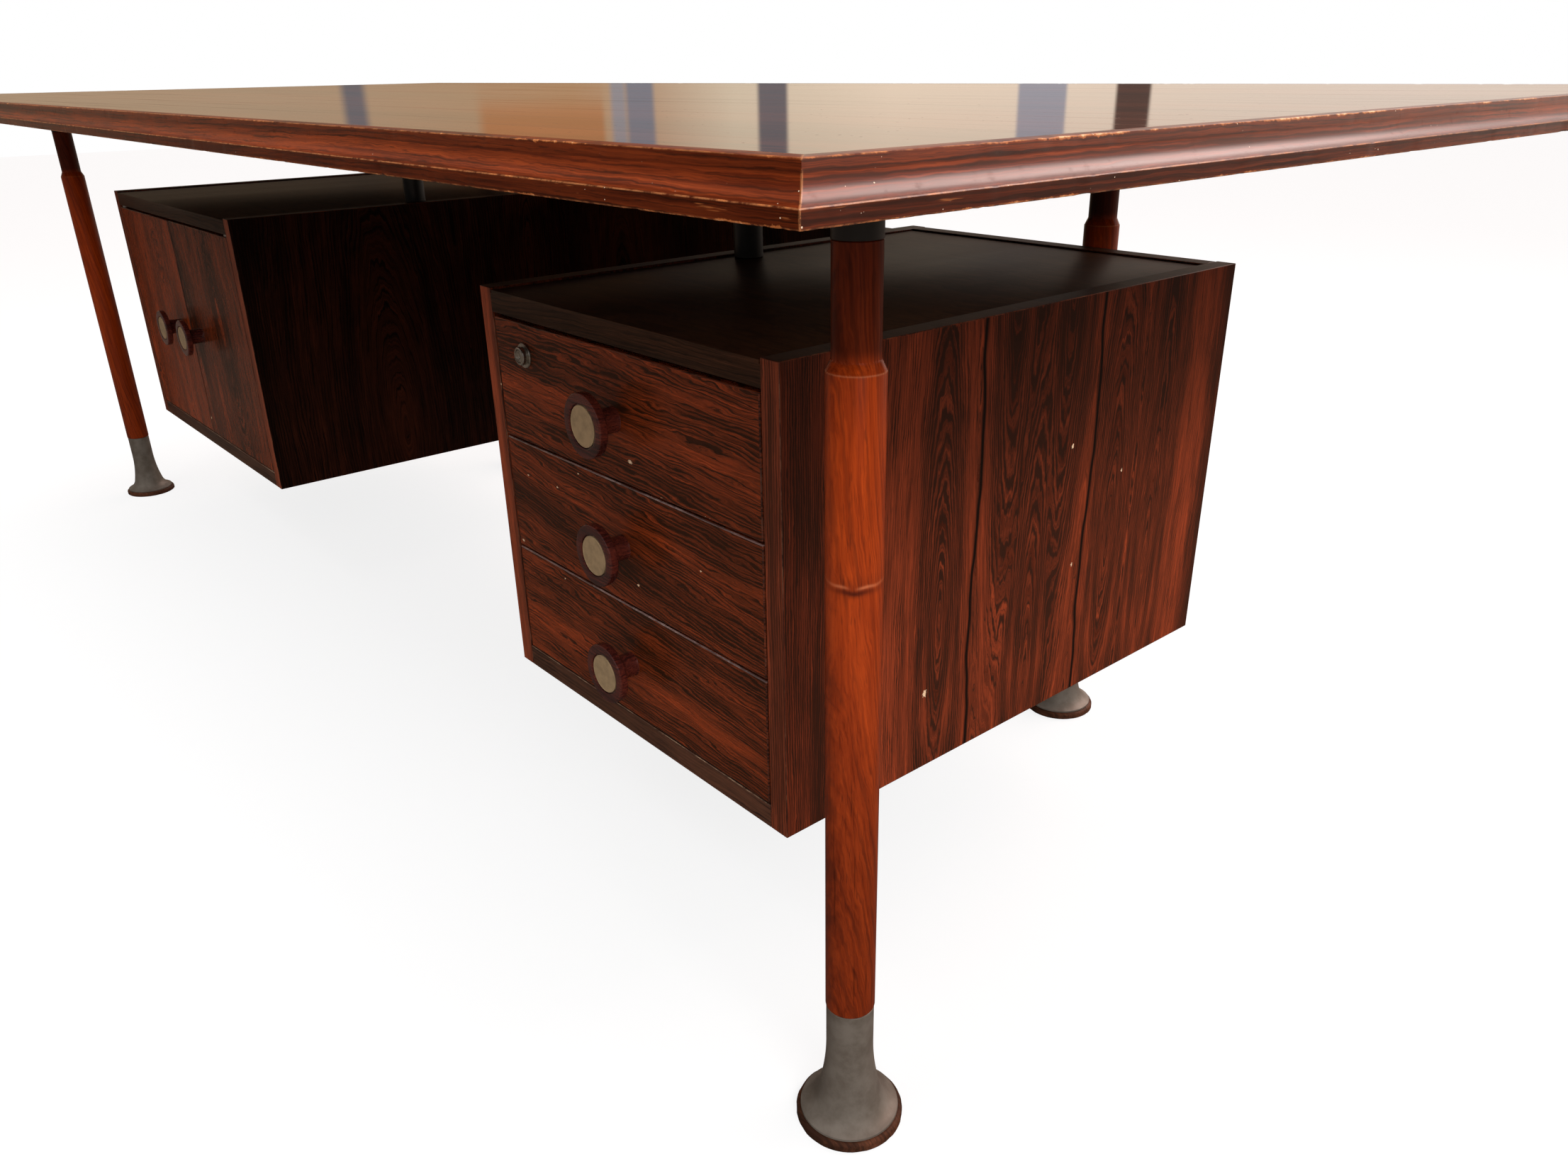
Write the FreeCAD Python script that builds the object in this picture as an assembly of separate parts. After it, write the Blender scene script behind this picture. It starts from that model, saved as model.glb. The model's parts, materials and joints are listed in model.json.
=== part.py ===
import FreeCAD, Part
import math
import os

from FreeCAD import Matrix, Vector

# An executive desk: a long wooden top on four turned legs, with a drawer unit
# and a wider cupboard unit hung under it and a modesty panel between them.
# X runs along the desk, -Y is the sitter's side, Z is up, and the origin is on
# the floor under the middle of the top. Lengths are in millimetres.

# Desk as a whole
desk_length = 2494.0
desk_depth = 1066.0
desk_height = 760.0

# Top: a core board with mitred edge mouldings, tongued into it
top_thickness = 23.0
moulding_width = 20.0
upper_band_height = 5.8
cove_radius = 9.6
tongue_depth = 8.0
tongue_height = 6.0
arris_round = 0.6

# Units under the top
gap_over_units = 140.0
unit_height = 409.0
unit_front_inset = 255.0
unit_rear_inset = 201.0
unit_end_inset = 314.0
drawer_unit_width = 450.0
cupboard_unit_width = 645.0
side_thickness = 21.0
bottom_thickness = 22.5
lid_thickness = 21.0
lid_drop = 2.0
lid_groove_width = 2.0
lid_groove_depth = 3.0
back_thickness = 21.0
back_inset = 3.0

# Gaps round drawer fronts and doors
front_gap = 2.0
gap_under_lid = 3.5
gap_over_bottom = 1.5
front_thickness = 20.0
front_round = 0.8

# Drawers
drawer_count = 3
drawer_side_gap = 1.5
drawer_side_thickness = 12.0
drawer_side_height = 88.0
drawer_side_lift = 6.0
drawer_back_gap = 36.0
drawer_bottom_thickness = 5.0
drawer_bottom_lift = 8.0
drawer_bottom_engage = 5.0
runner_height = 12.0
runner_engage = 7.0
runner_clearance = 0.3
runner_front_setback = 6.0
runner_back_setback = 24.0

# Knobs
knob_radius = 29.2
knob_disc_thickness = 8.6
knob_reach = 32.2
knob_stem_radius = 11.6
knob_stem_flare = 1.4
knob_tenon_radius = 6.0
knob_tenon_length = 15.0
knob_edge_round = 1.6
inlay_recess_radius = 20.0
inlay_recess_depth = 2.0
inlay_radius = 18.6
inlay_thickness = 1.6
knob_below_middle = 2.8

# Lock in the top drawer
lock_from_side = 56.0
lock_below_front_top = 30.0
lock_rosette_radius = 12.0
lock_rosette_thickness = 2.0
lock_tube_radius = 8.75
lock_reach = 7.0
lock_barrel_radius = 6.0
lock_running_gap = 0.05
lock_back_radius = 13.0
lock_back_thickness = 2.0
lock_tail_radius = 3.5
lock_tail_length = 4.0
keyway_width = 1.4
keyway_height = 8.0
keyway_depth = 9.0
cam_length = 43.0
cam_width = 12.0
cam_thickness = 2.5
cam_clearance = 1.5

# Legs, from the floor up
pad_radius = 43.5
pad_thickness = 8.0
pad_chamfer = 2.0
foot_rim_radius = 40.0
foot_rim_height = 2.5
foot_neck_radius = 18.8
foot_neck_start = 78.0
foot_sweep_radius = 205.0
foot_sweep_angle = 15.0
foot_top = 115.5
leg_radius = 19.4
leg_neck_radius = 15.7
shoulder_height = 7.5
leg_neck_length = 70.0
collar_height = 37.0
collar_step = 0.3
leg_tenon_radius = 12.0
leg_tenon_length = 45.0
leg_bore_depth = 60.0
front_leg_end_inset = 196.0
front_leg_edge_inset = 217.0
rear_leg_share = 0.601
saddle_thickness = 2.2
saddle_radius = 9.0

# Posts between the units and the top
post_radius = 16.0
post_side_inset = 41.0

# Fastenings
flange_radius = 23.0
flange_thickness = 4.0
bolt_radius = 5.0
bolt_head_radius = 9.0
bolt_head_height = 5.0
cross_bolt_radius = 4.0
cross_bolt_spacing = 240.0
cross_bolt_grip = 12.0
screw_radius = 2.0
screw_head_radius = 4.0
screw_head_height = 2.0
screw_length = 15.0
screw_circle_radius = 17.5
screws_per_flange = 4

# Cupboard doors
door_pin_radius = 3.0
door_pin_gap = 0.05
door_pin_length = 18.0
door_pin_from_edge = 12.0
door_pin_from_face = 6.0
door_washer_radius = 5.0
door_washer_gap = 0.3
door_knob_from_edge = 57.0
shelf_thickness = 18.0
shelf_setback = 14.0
shelf_dado_depth = 6.0

# Modesty panel
modesty_inset = 38.0
modesty_thickness = 18.0
modesty_lift = 42.0
dowel_radius = 5.0
dowel_into_side = 14.0
dowel_into_panel = 26.0
dowel_end_margin = 45.0
dowels_per_end = 3

# Places worked out from the sizes above
half_length = desk_length / 2
half_depth = desk_depth / 2
top_underside = desk_height - top_thickness
unit_top = top_underside - gap_over_units
unit_bottom = unit_top - unit_height
unit_front = unit_front_inset - half_depth
unit_back = half_depth - unit_rear_inset
unit_side = half_length - unit_end_inset
lid_top = unit_top - lid_drop
lid_underside = lid_top - lid_thickness
bottom_top = unit_bottom + bottom_thickness
front_low = bottom_top + gap_over_bottom
front_high = lid_underside - gap_under_lid
front_height = (front_high - front_low - front_gap * (drawer_count - 1)) / drawer_count
front_back = unit_front + front_thickness
carcass_back_face = unit_back - back_inset - back_thickness
drawer_box_length = carcass_back_face - drawer_back_gap - front_back
runner_length = drawer_box_length - runner_front_setback - runner_back_setback
modesty_back = unit_back - modesty_inset
modesty_front = modesty_back - modesty_thickness
modesty_bottom = unit_bottom + modesty_lift
cut_overrun = 1.0
touching = 0.01

drawer_unit = (unit_side - drawer_unit_width, unit_side)
cupboard_unit = (-unit_side, cupboard_unit_width - unit_side)
lock_place = (drawer_unit[0] + side_thickness + lock_from_side, unit_front, front_high - lock_below_front_top)
lock_tube_end = front_back + lock_back_thickness
cam_front = lock_tube_end + runner_clearance
cam_slot_back = cam_front + cam_thickness + cam_clearance
lid_rail_back = cam_front - cam_clearance
lid_middle = lock_place[2] + math.hypot(cam_length + cam_clearance, cam_width / 2)
post_places = ((drawer_unit[0] + post_side_inset, (unit_front + unit_back) / 2),
               (cupboard_unit[1] - post_side_inset, (unit_front + unit_back) / 2))
front_leg_x = half_length - front_leg_end_inset
front_leg_y = front_leg_edge_inset - half_depth
rear_right_x = drawer_unit[0] + rear_leg_share * drawer_unit_width
rear_left_x = cupboard_unit[1] - rear_leg_share * cupboard_unit_width
rear_leg_y = unit_back + saddle_thickness + leg_radius
leg_places = {
    "front_right": (front_leg_x, front_leg_y),
    "front_left": (-front_leg_x, front_leg_y),
    "rear_right": (rear_right_x, rear_leg_y),
    "rear_left": (rear_left_x, rear_leg_y),
}
collar_top = top_underside - flange_thickness
collar_bottom = collar_top - collar_height
shoulder_high = collar_bottom - leg_neck_length
shoulder_low = shoulder_high - shoulder_height

X_AXIS = Vector(1, 0, 0)
Y_AXIS = Vector(0, 1, 0)
Z_AXIS = Vector(0, 0, 1)

parts = {}


# Plain building blocks
def block(low, high):
    return Part.makeBox(high[0] - low[0], high[1] - low[1], high[2] - low[2], Vector(*low))


def rod(radius, start, length, axis=Z_AXIS):
    return Part.makeCylinder(radius, length, Vector(*start), axis)


def turned(points, place, axis=Z_AXIS):
    """Solid of revolution; each point is (radius, along), or a triple of points for an arc."""
    edges = []
    here = points[0]
    for item in points[1:]:
        if len(item) == 2 and isinstance(item[0], tuple):
            through, end = item
            edges.append(Part.Arc(profile_point(here), profile_point(through), profile_point(end)).toShape())
            here = end
        else:
            edges.append(Part.LineSegment(profile_point(here), profile_point(item)).toShape())
            here = item
    if here != points[0]:
        edges.append(Part.LineSegment(profile_point(here), profile_point(points[0])).toShape())
    solid = Part.Face(Part.Wire(edges)).revolve(Vector(0, 0, 0), Z_AXIS, 360)
    if axis is Y_AXIS:
        solid.rotate(Vector(0, 0, 0), X_AXIS, 90)
    solid.translate(Vector(*place))
    return solid


def profile_point(pair):
    return Vector(pair[0], 0, pair[1])


def round_edges(solid, size, wanted):
    edges = [edge for edge in solid.Edges if wanted(edge)]
    return solid.makeFillet(size, edges) if edges else solid


def lies_on_front(edge, y):
    return all(abs(vertex.Y - y) < touching for vertex in edge.Vertexes)


def join(solids):
    return Part.makeCompound(solids)


def drill(node, tool):
    """Cuts the tool's shape out of each solid of a node."""
    solids = [solid.cut(tool) for solid in parts[node].Solids]
    parts[node] = solids[0] if len(solids) == 1 else join(solids)


# Desktop
def moulding_section(at_y):
    """Edge profile in the YZ plane for an edge whose outermost face is at at_y, facing -Y."""
    cove_top = desk_height - upper_band_height
    ledge = cove_top - cove_radius
    inner = at_y + moulding_width
    band = at_y + cove_radius
    middle = desk_height - top_thickness / 2
    half_tongue = tongue_height / 2
    bend = cove_radius * (1 - math.cos(math.pi / 4))
    turn = cove_radius * math.sin(math.pi / 4)
    points = [
        (inner, desk_height), (band + arris_round, desk_height), (band, desk_height - arris_round),
        (band, cove_top), "cove", (at_y, ledge), (at_y, top_underside), (inner, top_underside),
        (inner, middle - half_tongue), (inner + tongue_depth, middle - half_tongue),
        (inner + tongue_depth, middle + half_tongue), (inner, middle + half_tongue),
    ]
    cove_middle = (band - bend, cove_top - turn)
    edges = []
    here = points[0]
    through = None
    for item in points[1:] + points[:1]:
        if item == "cove":
            through = cove_middle
            continue
        start, end = Vector(0, *here), Vector(0, *item)
        if through:
            edges.append(Part.Arc(start, Vector(0, *through), end).toShape())
            through = None
        else:
            edges.append(Part.LineSegment(start, end).toShape())
        here = item
    return Part.Face(Part.Wire(edges))


def moulding(length, depth):
    """Moulding of the front edge of a top of this length and depth, mitred at both ends."""
    bar = moulding_section(-depth / 2).extrude(Vector(length, 0, 0))
    bar.translate(Vector(-length / 2, 0, 0))
    reach = moulding_width + tongue_depth
    corners = [Vector(-length / 2, -depth / 2, 0), Vector(length / 2, -depth / 2, 0),
               Vector(length / 2 - reach, reach - depth / 2, 0), Vector(reach - length / 2, reach - depth / 2, 0)]
    wedge = Part.Face(Part.makePolygon(corners + corners[:1])).extrude(Vector(0, 0, desk_height + cut_overrun))
    return bar.common(wedge)


def make_desktop():
    sides = (("front", desk_length, desk_depth, 0), ("right", desk_depth, desk_length, 90),
             ("rear", desk_length, desk_depth, 180), ("left", desk_depth, desk_length, 270))
    reach = moulding_width
    core = block((reach - half_length, reach - half_depth, top_underside),
                 (half_length - reach, half_depth - reach, desk_height))
    for name, length, depth, turn in sides:
        bar = moulding(length, depth)
        bar.rotate(Vector(0, 0, 0), Z_AXIS, turn)
        parts["edge_moulding_" + name] = bar
        core = core.cut(bar)
    parts["desktop_panel"] = core


# Legs, posts and their fastenings
def foot_profile():
    sweep = math.radians(foot_sweep_angle)
    joint_radius = foot_neck_radius + foot_sweep_radius * (1 - math.cos(sweep))
    joint_height = foot_neck_start - foot_sweep_radius * math.sin(sweep)
    rim_top = pad_thickness + foot_rim_height
    drop = joint_height - rim_top
    spread = foot_rim_radius - joint_radius
    turn = 2 * math.atan2(spread, drop) - sweep
    small_radius = spread / (math.cos(sweep) - math.cos(turn))
    half_sweep = sweep / 2
    half_turn = (sweep + turn) / 2
    sweep_middle = (foot_neck_radius + foot_sweep_radius * (1 - math.cos(half_sweep)),
                    foot_neck_start - foot_sweep_radius * math.sin(half_sweep))
    turn_middle = (joint_radius + small_radius * (math.cos(sweep) - math.cos(half_turn)),
                   joint_height - small_radius * (math.sin(half_turn) - math.sin(sweep)))
    return [(0, pad_thickness), (foot_rim_radius, pad_thickness), (foot_rim_radius, rim_top),
            (turn_middle, (joint_radius, joint_height)),
            (sweep_middle, (foot_neck_radius, foot_neck_start)),
            (foot_neck_radius, foot_top), (leg_tenon_radius, foot_top),
            (leg_tenon_radius, foot_top - leg_tenon_length), (0, foot_top - leg_tenon_length)]


def leg_profile():
    return [(0, foot_top - leg_tenon_length), (leg_tenon_radius, foot_top - leg_tenon_length),
            (leg_tenon_radius, foot_top), (leg_radius, foot_top), (leg_radius, shoulder_low),
            (leg_neck_radius, shoulder_high), (leg_neck_radius, collar_bottom),
            (bolt_radius, collar_bottom), (bolt_radius, collar_bottom - leg_bore_depth),
            (0, collar_bottom - leg_bore_depth)]


def pad_profile():
    return [(0, 0), (pad_radius, 0), (pad_radius, pad_thickness - pad_chamfer),
            (pad_radius - pad_chamfer, pad_thickness), (0, pad_thickness)]


def flange_screw_places(place):
    for number in range(screws_per_flange):
        angle = math.pi / 4 + number * 2 * math.pi / screws_per_flange
        yield (place[0] + screw_circle_radius * math.cos(angle), place[1] + screw_circle_radius * math.sin(angle))


def flange(place):
    plate = rod(flange_radius, (*place, collar_top), flange_thickness)
    plate = plate.cut(rod(bolt_radius, (*place, collar_top), flange_thickness))
    for spot in flange_screw_places(place):
        plate = plate.cut(wood_screw((*spot, collar_top)))
    return plate


def wood_screw(start):
    """Countersunk screw driven upwards, its head's face at start."""
    head = Part.makeCone(screw_head_radius, screw_radius, screw_head_height, Vector(*start), Z_AXIS)
    shank = rod(screw_radius, (start[0], start[1], start[2] + screw_head_height), screw_length - screw_head_height)
    return head.fuse(shank)


def cross_bolt_heights():
    middle = (unit_bottom + unit_top) / 2
    return (middle - cross_bolt_spacing / 2, middle + cross_bolt_spacing / 2)


def cross_bolt(place, height):
    """Bolt from inside a unit, its head sunk in the back, into a rear leg."""
    seat = carcass_back_face + bolt_head_height
    head = rod(bolt_head_radius, (place[0], carcass_back_face, height), bolt_head_height, Y_AXIS)
    shank = rod(cross_bolt_radius, (place[0], seat, height), place[1] + cross_bolt_grip - seat, Y_AXIS)
    return head.fuse(shank)


def saddle(place, height):
    """Washer with one flat face on the unit's back and one hollow face on the leg."""
    start = unit_back - back_inset
    washer = rod(saddle_radius, (place[0], start, height), place[1] - start, Y_AXIS)
    washer = washer.cut(rod(leg_radius, (*place, height - saddle_radius), 2 * saddle_radius))
    return washer.cut(rod(cross_bolt_radius, (place[0], start, height), place[1] - start, Y_AXIS))


def post_stud(place):
    """Threaded stud from a flange, down through a post to its nut, sunk in a unit's lid."""
    stud = rod(bolt_radius, (*place, lid_underside), top_underside - lid_underside)
    return stud.fuse(rod(bolt_head_radius, (*place, lid_underside), bolt_head_height))


def make_supports():
    bolts, screws, flanges, collars, pads, saddles = [], [], [], [], [], []
    for name, place in leg_places.items():
        leg = turned(leg_profile(), (*place, 0))
        if name.startswith("rear"):
            for height in cross_bolt_heights():
                bolt = cross_bolt(place, height)
                leg = leg.cut(bolt)
                bolts.append(bolt)
                saddles.append(saddle(place, height))
        parts["leg_" + name] = leg
        parts["foot_" + name] = turned(foot_profile(), (*place, 0))
        pads.append(turned(pad_profile(), (*place, 0)))
        ring = rod(leg_neck_radius + collar_step, (*place, collar_bottom), collar_top - collar_bottom)
        collars.append(ring.cut(rod(bolt_radius, (*place, collar_bottom), collar_top - collar_bottom)))
        bolts.append(rod(bolt_radius, (*place, collar_bottom - leg_bore_depth),
                         top_underside - collar_bottom + leg_bore_depth))
    for name, place in zip(("right", "left"), post_places):
        post = rod(post_radius, (*place, lid_top), collar_top - lid_top)
        parts["post_" + name] = post.cut(rod(bolt_radius, (*place, lid_top), collar_top - lid_top))
        bolts.append(post_stud(place))
    for place in (*leg_places.values(), *post_places):
        flanges.append(flange(place))
        for spot in flange_screw_places(place):
            screw = wood_screw((*spot, collar_top))
            screws.append(screw)
            drill("desktop_panel", screw)
    parts["foot_pads"] = join(pads)
    parts["leg_collars"] = join(collars)
    parts["mounting_flanges"] = join(flanges)
    parts["flange_screws"] = join(screws)
    parts["frame_bolts"] = join(bolts)
    parts["saddle_washers"] = join(saddles)


# Unit carcasses
def carcass_side(left, right):
    side = block((left, unit_front, unit_bottom), (right, unit_back, unit_top))
    return round_edges(side, front_round, lambda edge: lies_on_front(edge, unit_front))


def make_lid(node, left, right, lower_front):
    """A front rail and two boards, one on the other, with a fine groove along both sides and the back."""
    floor = lid_top - lid_groove_depth
    over = lid_top + cut_overrun
    parts[node] = join([block((left, unit_front, lid_underside), (right, lid_rail_back, lid_top)),
                        block((left, lid_rail_back, lid_middle), (right, carcass_back_face, lid_top)),
                        block((left, lower_front, lid_underside), (right, carcass_back_face, lid_middle))])
    drill(node, block((left, unit_front, floor), (left + lid_groove_width, carcass_back_face, over)))
    drill(node, block((right - lid_groove_width, unit_front, floor), (right, carcass_back_face, over)))
    drill(node, block((left, carcass_back_face - lid_groove_width, floor), (right, carcass_back_face, over)))
    for place in post_places:
        drill(node, post_stud(place))


def make_carcass(name, span):
    inner = (span[0] + side_thickness, span[1] - side_thickness)
    kneehole_first = name == "drawer_unit"
    names = ("_kneehole_side", "_outer_side") if kneehole_first else ("_outer_side", "_kneehole_side")
    parts[name + names[0]] = carcass_side(span[0], inner[0])
    parts[name + names[1]] = carcass_side(inner[1], span[1])
    floor = block((inner[0], unit_front, unit_bottom), (inner[1], carcass_back_face, bottom_top))
    parts[name + "_bottom"] = round_edges(floor, front_round, lambda edge: lies_on_front(edge, unit_front))
    make_lid(name + "_lid", *inner, cam_slot_back if kneehole_first else lid_rail_back)
    back = block((inner[0], carcass_back_face, unit_bottom), (inner[1], unit_back - back_inset, unit_top))
    for leg_name, place in leg_places.items():
        if leg_name.startswith("rear"):
            for height in cross_bolt_heights():
                back = back.cut(cross_bolt(place, height))
    parts[name + "_back"] = back


def make_modesty_panel():
    left, right = cupboard_unit[1], drawer_unit[0]
    panel = block((left, modesty_front, modesty_bottom), (right, modesty_back, unit_top))
    low, high = modesty_bottom + dowel_end_margin, unit_top - dowel_end_margin
    ends = ((left - dowel_into_side, "cupboard_unit_kneehole_side"),
            (right - dowel_into_panel, "drawer_unit_kneehole_side"))
    dowels = []
    for number in range(dowels_per_end):
        height = low + (high - low) * number / (dowels_per_end - 1)
        for start, side in ends:
            dowel = rod(dowel_radius, (start, (modesty_front + modesty_back) / 2, height),
                        dowel_into_side + dowel_into_panel, X_AXIS)
            panel = panel.cut(dowel)
            drill(side, dowel)
            dowels.append(dowel)
    parts["modesty_panel"] = panel
    parts["modesty_dowels"] = join(dowels)


# Drawers
def knob(place):
    """Turned knob on a front whose face passes through place, pulled towards -Y."""
    disc_back = knob_reach - knob_disc_thickness
    edge = knob_edge_round
    profile = [(0, -knob_tenon_length), (knob_tenon_radius, -knob_tenon_length), (knob_tenon_radius, 0),
               (knob_stem_radius, 0), (knob_stem_radius, disc_back - knob_stem_flare),
               (knob_stem_radius + knob_stem_flare, disc_back), (knob_radius - edge, disc_back),
               (knob_radius, disc_back + edge), (knob_radius, knob_reach - edge),
               (knob_radius - edge, knob_reach), (inlay_recess_radius, knob_reach),
               (inlay_recess_radius, knob_reach - inlay_recess_depth), (0, knob_reach - inlay_recess_depth)]
    return turned(profile, place, Y_AXIS)


def inlay(place):
    floor = place[1] - knob_reach + inlay_recess_depth
    return rod(inlay_radius, (place[0], floor - inlay_thickness, place[2]), inlay_thickness, Y_AXIS)


def add_knob(name, place):
    parts[name + "_knob"] = knob(place)
    parts[name + "_knob_inlay"] = inlay(place)


def knob_hole(place):
    return rod(knob_tenon_radius, place, knob_tenon_length, Y_AXIS)


def make_lock():
    x, y, z = lock_place
    end = lock_tube_end
    housing = rod(lock_tube_radius, (x, y - lock_reach, z), end - y + lock_reach, Y_AXIS)
    housing = housing.fuse(rod(lock_rosette_radius, (x, y - lock_rosette_thickness, z), lock_rosette_thickness, Y_AXIS))
    housing = housing.fuse(rod(lock_back_radius, (x, front_back, z), lock_back_thickness, Y_AXIS))
    bore = lock_barrel_radius + lock_running_gap
    parts["lock_housing"] = housing.cut(rod(bore, (x, y - lock_reach, z), end - y + lock_reach, Y_AXIS))
    face = y - lock_reach + runner_clearance
    barrel = rod(lock_barrel_radius, (x, face, z), end + runner_clearance - face, Y_AXIS)
    barrel = barrel.fuse(rod(lock_tail_radius, (x, end, z), runner_clearance + lock_tail_length, Y_AXIS))
    slot = block((x - keyway_width / 2, face, z - keyway_height / 2),
                 (x + keyway_width / 2, face + keyway_depth, z + keyway_height / 2))
    parts["lock_barrel"] = barrel.cut(slot)
    plate = rod(cam_width / 2, (x, cam_front, z), cam_thickness, Y_AXIS)
    plate = plate.fuse(block((x, cam_front, z - cam_width / 2), (x + cam_length, cam_front + cam_thickness,
                                                                 z + cam_width / 2)))
    parts["lock_cam"] = plate.cut(rod(lock_tail_radius, (x, cam_front, z), cam_thickness, Y_AXIS))


def drawer_low(number):
    """Height of the lower edge of a drawer's front; drawer 1 is the top one."""
    return front_high - number * front_height - (number - 1) * front_gap


def runner_low(number):
    return drawer_low(number) + drawer_side_lift + (drawer_side_height - runner_height) / 2


def make_drawer(number, inner):
    low = drawer_low(number)
    left, right = inner[0] + front_gap, inner[1] - front_gap
    middle = (inner[0] + inner[1]) / 2
    name = "drawer_%d" % number
    knob_at = (middle, unit_front, low + front_height / 2 - knob_below_middle)

    box_left, box_right = inner[0] + drawer_side_gap, inner[1] - drawer_side_gap
    side_low = low + drawer_side_lift
    side_high = side_low + drawer_side_height
    box_back = front_back + drawer_box_length
    bottom_low = side_low + drawer_bottom_lift
    engage = drawer_bottom_engage
    board = block((box_left + drawer_side_thickness - engage, front_back - engage, bottom_low),
                  (box_right - drawer_side_thickness + engage, box_back - drawer_side_thickness + engage,
                   bottom_low + drawer_bottom_thickness))

    front = block((left, unit_front, low), (right, front_back, low + front_height))
    front = round_edges(front, front_round, lambda edge: lies_on_front(edge, unit_front))
    front = front.cut(knob_hole(knob_at)).cut(board)
    if number == 1:
        front = front.cut(rod(lock_tube_radius, lock_place, front_thickness, Y_AXIS))
    parts[name + "_front"] = front

    groove_low = runner_low(number) - runner_clearance
    groove_high = runner_low(number) + runner_height + runner_clearance
    groove_depth = runner_engage + runner_clearance
    boards = []
    for outside, inside, sign in ((box_left, box_left + drawer_side_thickness, 1),
                                  (box_right, box_right - drawer_side_thickness, -1)):
        side = block((min(outside, inside), front_back, side_low), (max(outside, inside), box_back, side_high))
        deep = outside + sign * groove_depth
        groove = block((min(outside, deep), front_back, groove_low), (max(outside, deep), box_back, groove_high))
        boards.append(side.cut(groove).cut(board))
    back = block((box_left + drawer_side_thickness, box_back - drawer_side_thickness, side_low),
                 (box_right - drawer_side_thickness, box_back, side_high))
    boards.append(back.cut(board))
    parts[name + "_box"] = join(boards)
    parts[name + "_bottom"] = board
    add_knob(name, knob_at)


def make_runners(inner):
    strips = []
    reach = drawer_side_gap + runner_engage
    start = front_back + runner_front_setback
    for number in range(1, drawer_count + 1):
        low = runner_low(number)
        for wall, sign in ((inner[0], 1), (inner[1], -1)):
            tip = wall + sign * reach
            strips.append(block((min(wall, tip), start, low),
                                (max(wall, tip), start + runner_length, low + runner_height)))
    parts["drawer_runners"] = join(strips)


# Cupboard unit's doors and shelf
def door_axis(inner, outer_hinged):
    offset = front_gap + door_pin_from_edge
    return (inner[0] + offset if outer_hinged else inner[1] - offset, unit_front + door_pin_from_face)


def make_doors(inner):
    middle = (inner[0] + inner[1]) / 2
    spans = {"outer_door": (inner[0] + front_gap, middle - front_gap / 2),
             "kneehole_door": (middle + front_gap / 2, inner[1] - front_gap)}
    pins = []
    half_pin = door_pin_length / 2
    for name, (left, right) in spans.items():
        outer = name == "outer_door"
        place = door_axis(inner, outer)
        door = block((left, unit_front, front_low), (right, front_back, front_high))
        door = round_edges(door, front_round, lambda edge: lies_on_front(edge, unit_front))
        knob_x = right - door_knob_from_edge if outer else left + door_knob_from_edge
        knob_at = (knob_x, unit_front, (front_low + front_high) / 2)
        door = door.cut(knob_hole(knob_at))
        bore = door_pin_radius + door_pin_gap
        for end, facing in ((front_low, 1), (front_high, -1)):
            inner_end = end + facing * (half_pin + door_washer_gap)
            hole_low = min(end, inner_end)
            door = door.cut(rod(bore, (*place, hole_low), abs(inner_end - end)))
            wall = bottom_top if facing > 0 else lid_underside
            pin_low = wall - half_pin if facing > 0 else end - half_pin
            pin_high = end + half_pin if facing > 0 else wall + half_pin
            pin = rod(door_pin_radius, (*place, pin_low), pin_high - pin_low)
            washer = abs(end - wall) - door_washer_gap
            washer_low = wall if facing > 0 else wall - washer
            pins.append(pin.fuse(rod(door_washer_radius, (*place, washer_low), washer)))
        parts[name] = door
        add_knob(name, knob_at)
    for pin in pins:
        drill("cupboard_unit_bottom", pin)
        drill("cupboard_unit_lid", pin)
    parts["door_pivots"] = join(pins)


def make_shelf(inner):
    low = (bottom_top + lid_underside - shelf_thickness) / 2
    shelf = block((inner[0] - shelf_dado_depth, front_back + shelf_setback, low),
                  (inner[1] + shelf_dado_depth, carcass_back_face, low + shelf_thickness))
    for side in ("cupboard_unit_outer_side", "cupboard_unit_kneehole_side"):
        drill(side, shelf)
    parts["cupboard_shelf"] = shelf


def inside(span):
    return (span[0] + side_thickness, span[1] - side_thickness)


make_desktop()
make_supports()
make_carcass("drawer_unit", drawer_unit)
make_carcass("cupboard_unit", cupboard_unit)
make_modesty_panel()
make_runners(inside(drawer_unit))
for drawer_number in range(1, drawer_count + 1):
    make_drawer(drawer_number, inside(drawer_unit))
make_lock()
make_doors(inside(cupboard_unit))
make_shelf(inside(cupboard_unit))

os.makedirs("parts", exist_ok=True)
for node, shape in parts.items():
    shape.exportStep(os.path.join("parts", node + ".step"))
print(len(parts), "nodes")
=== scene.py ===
import json
import math

import bmesh
import bpy
from mathutils import Matrix, Vector, noise

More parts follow.
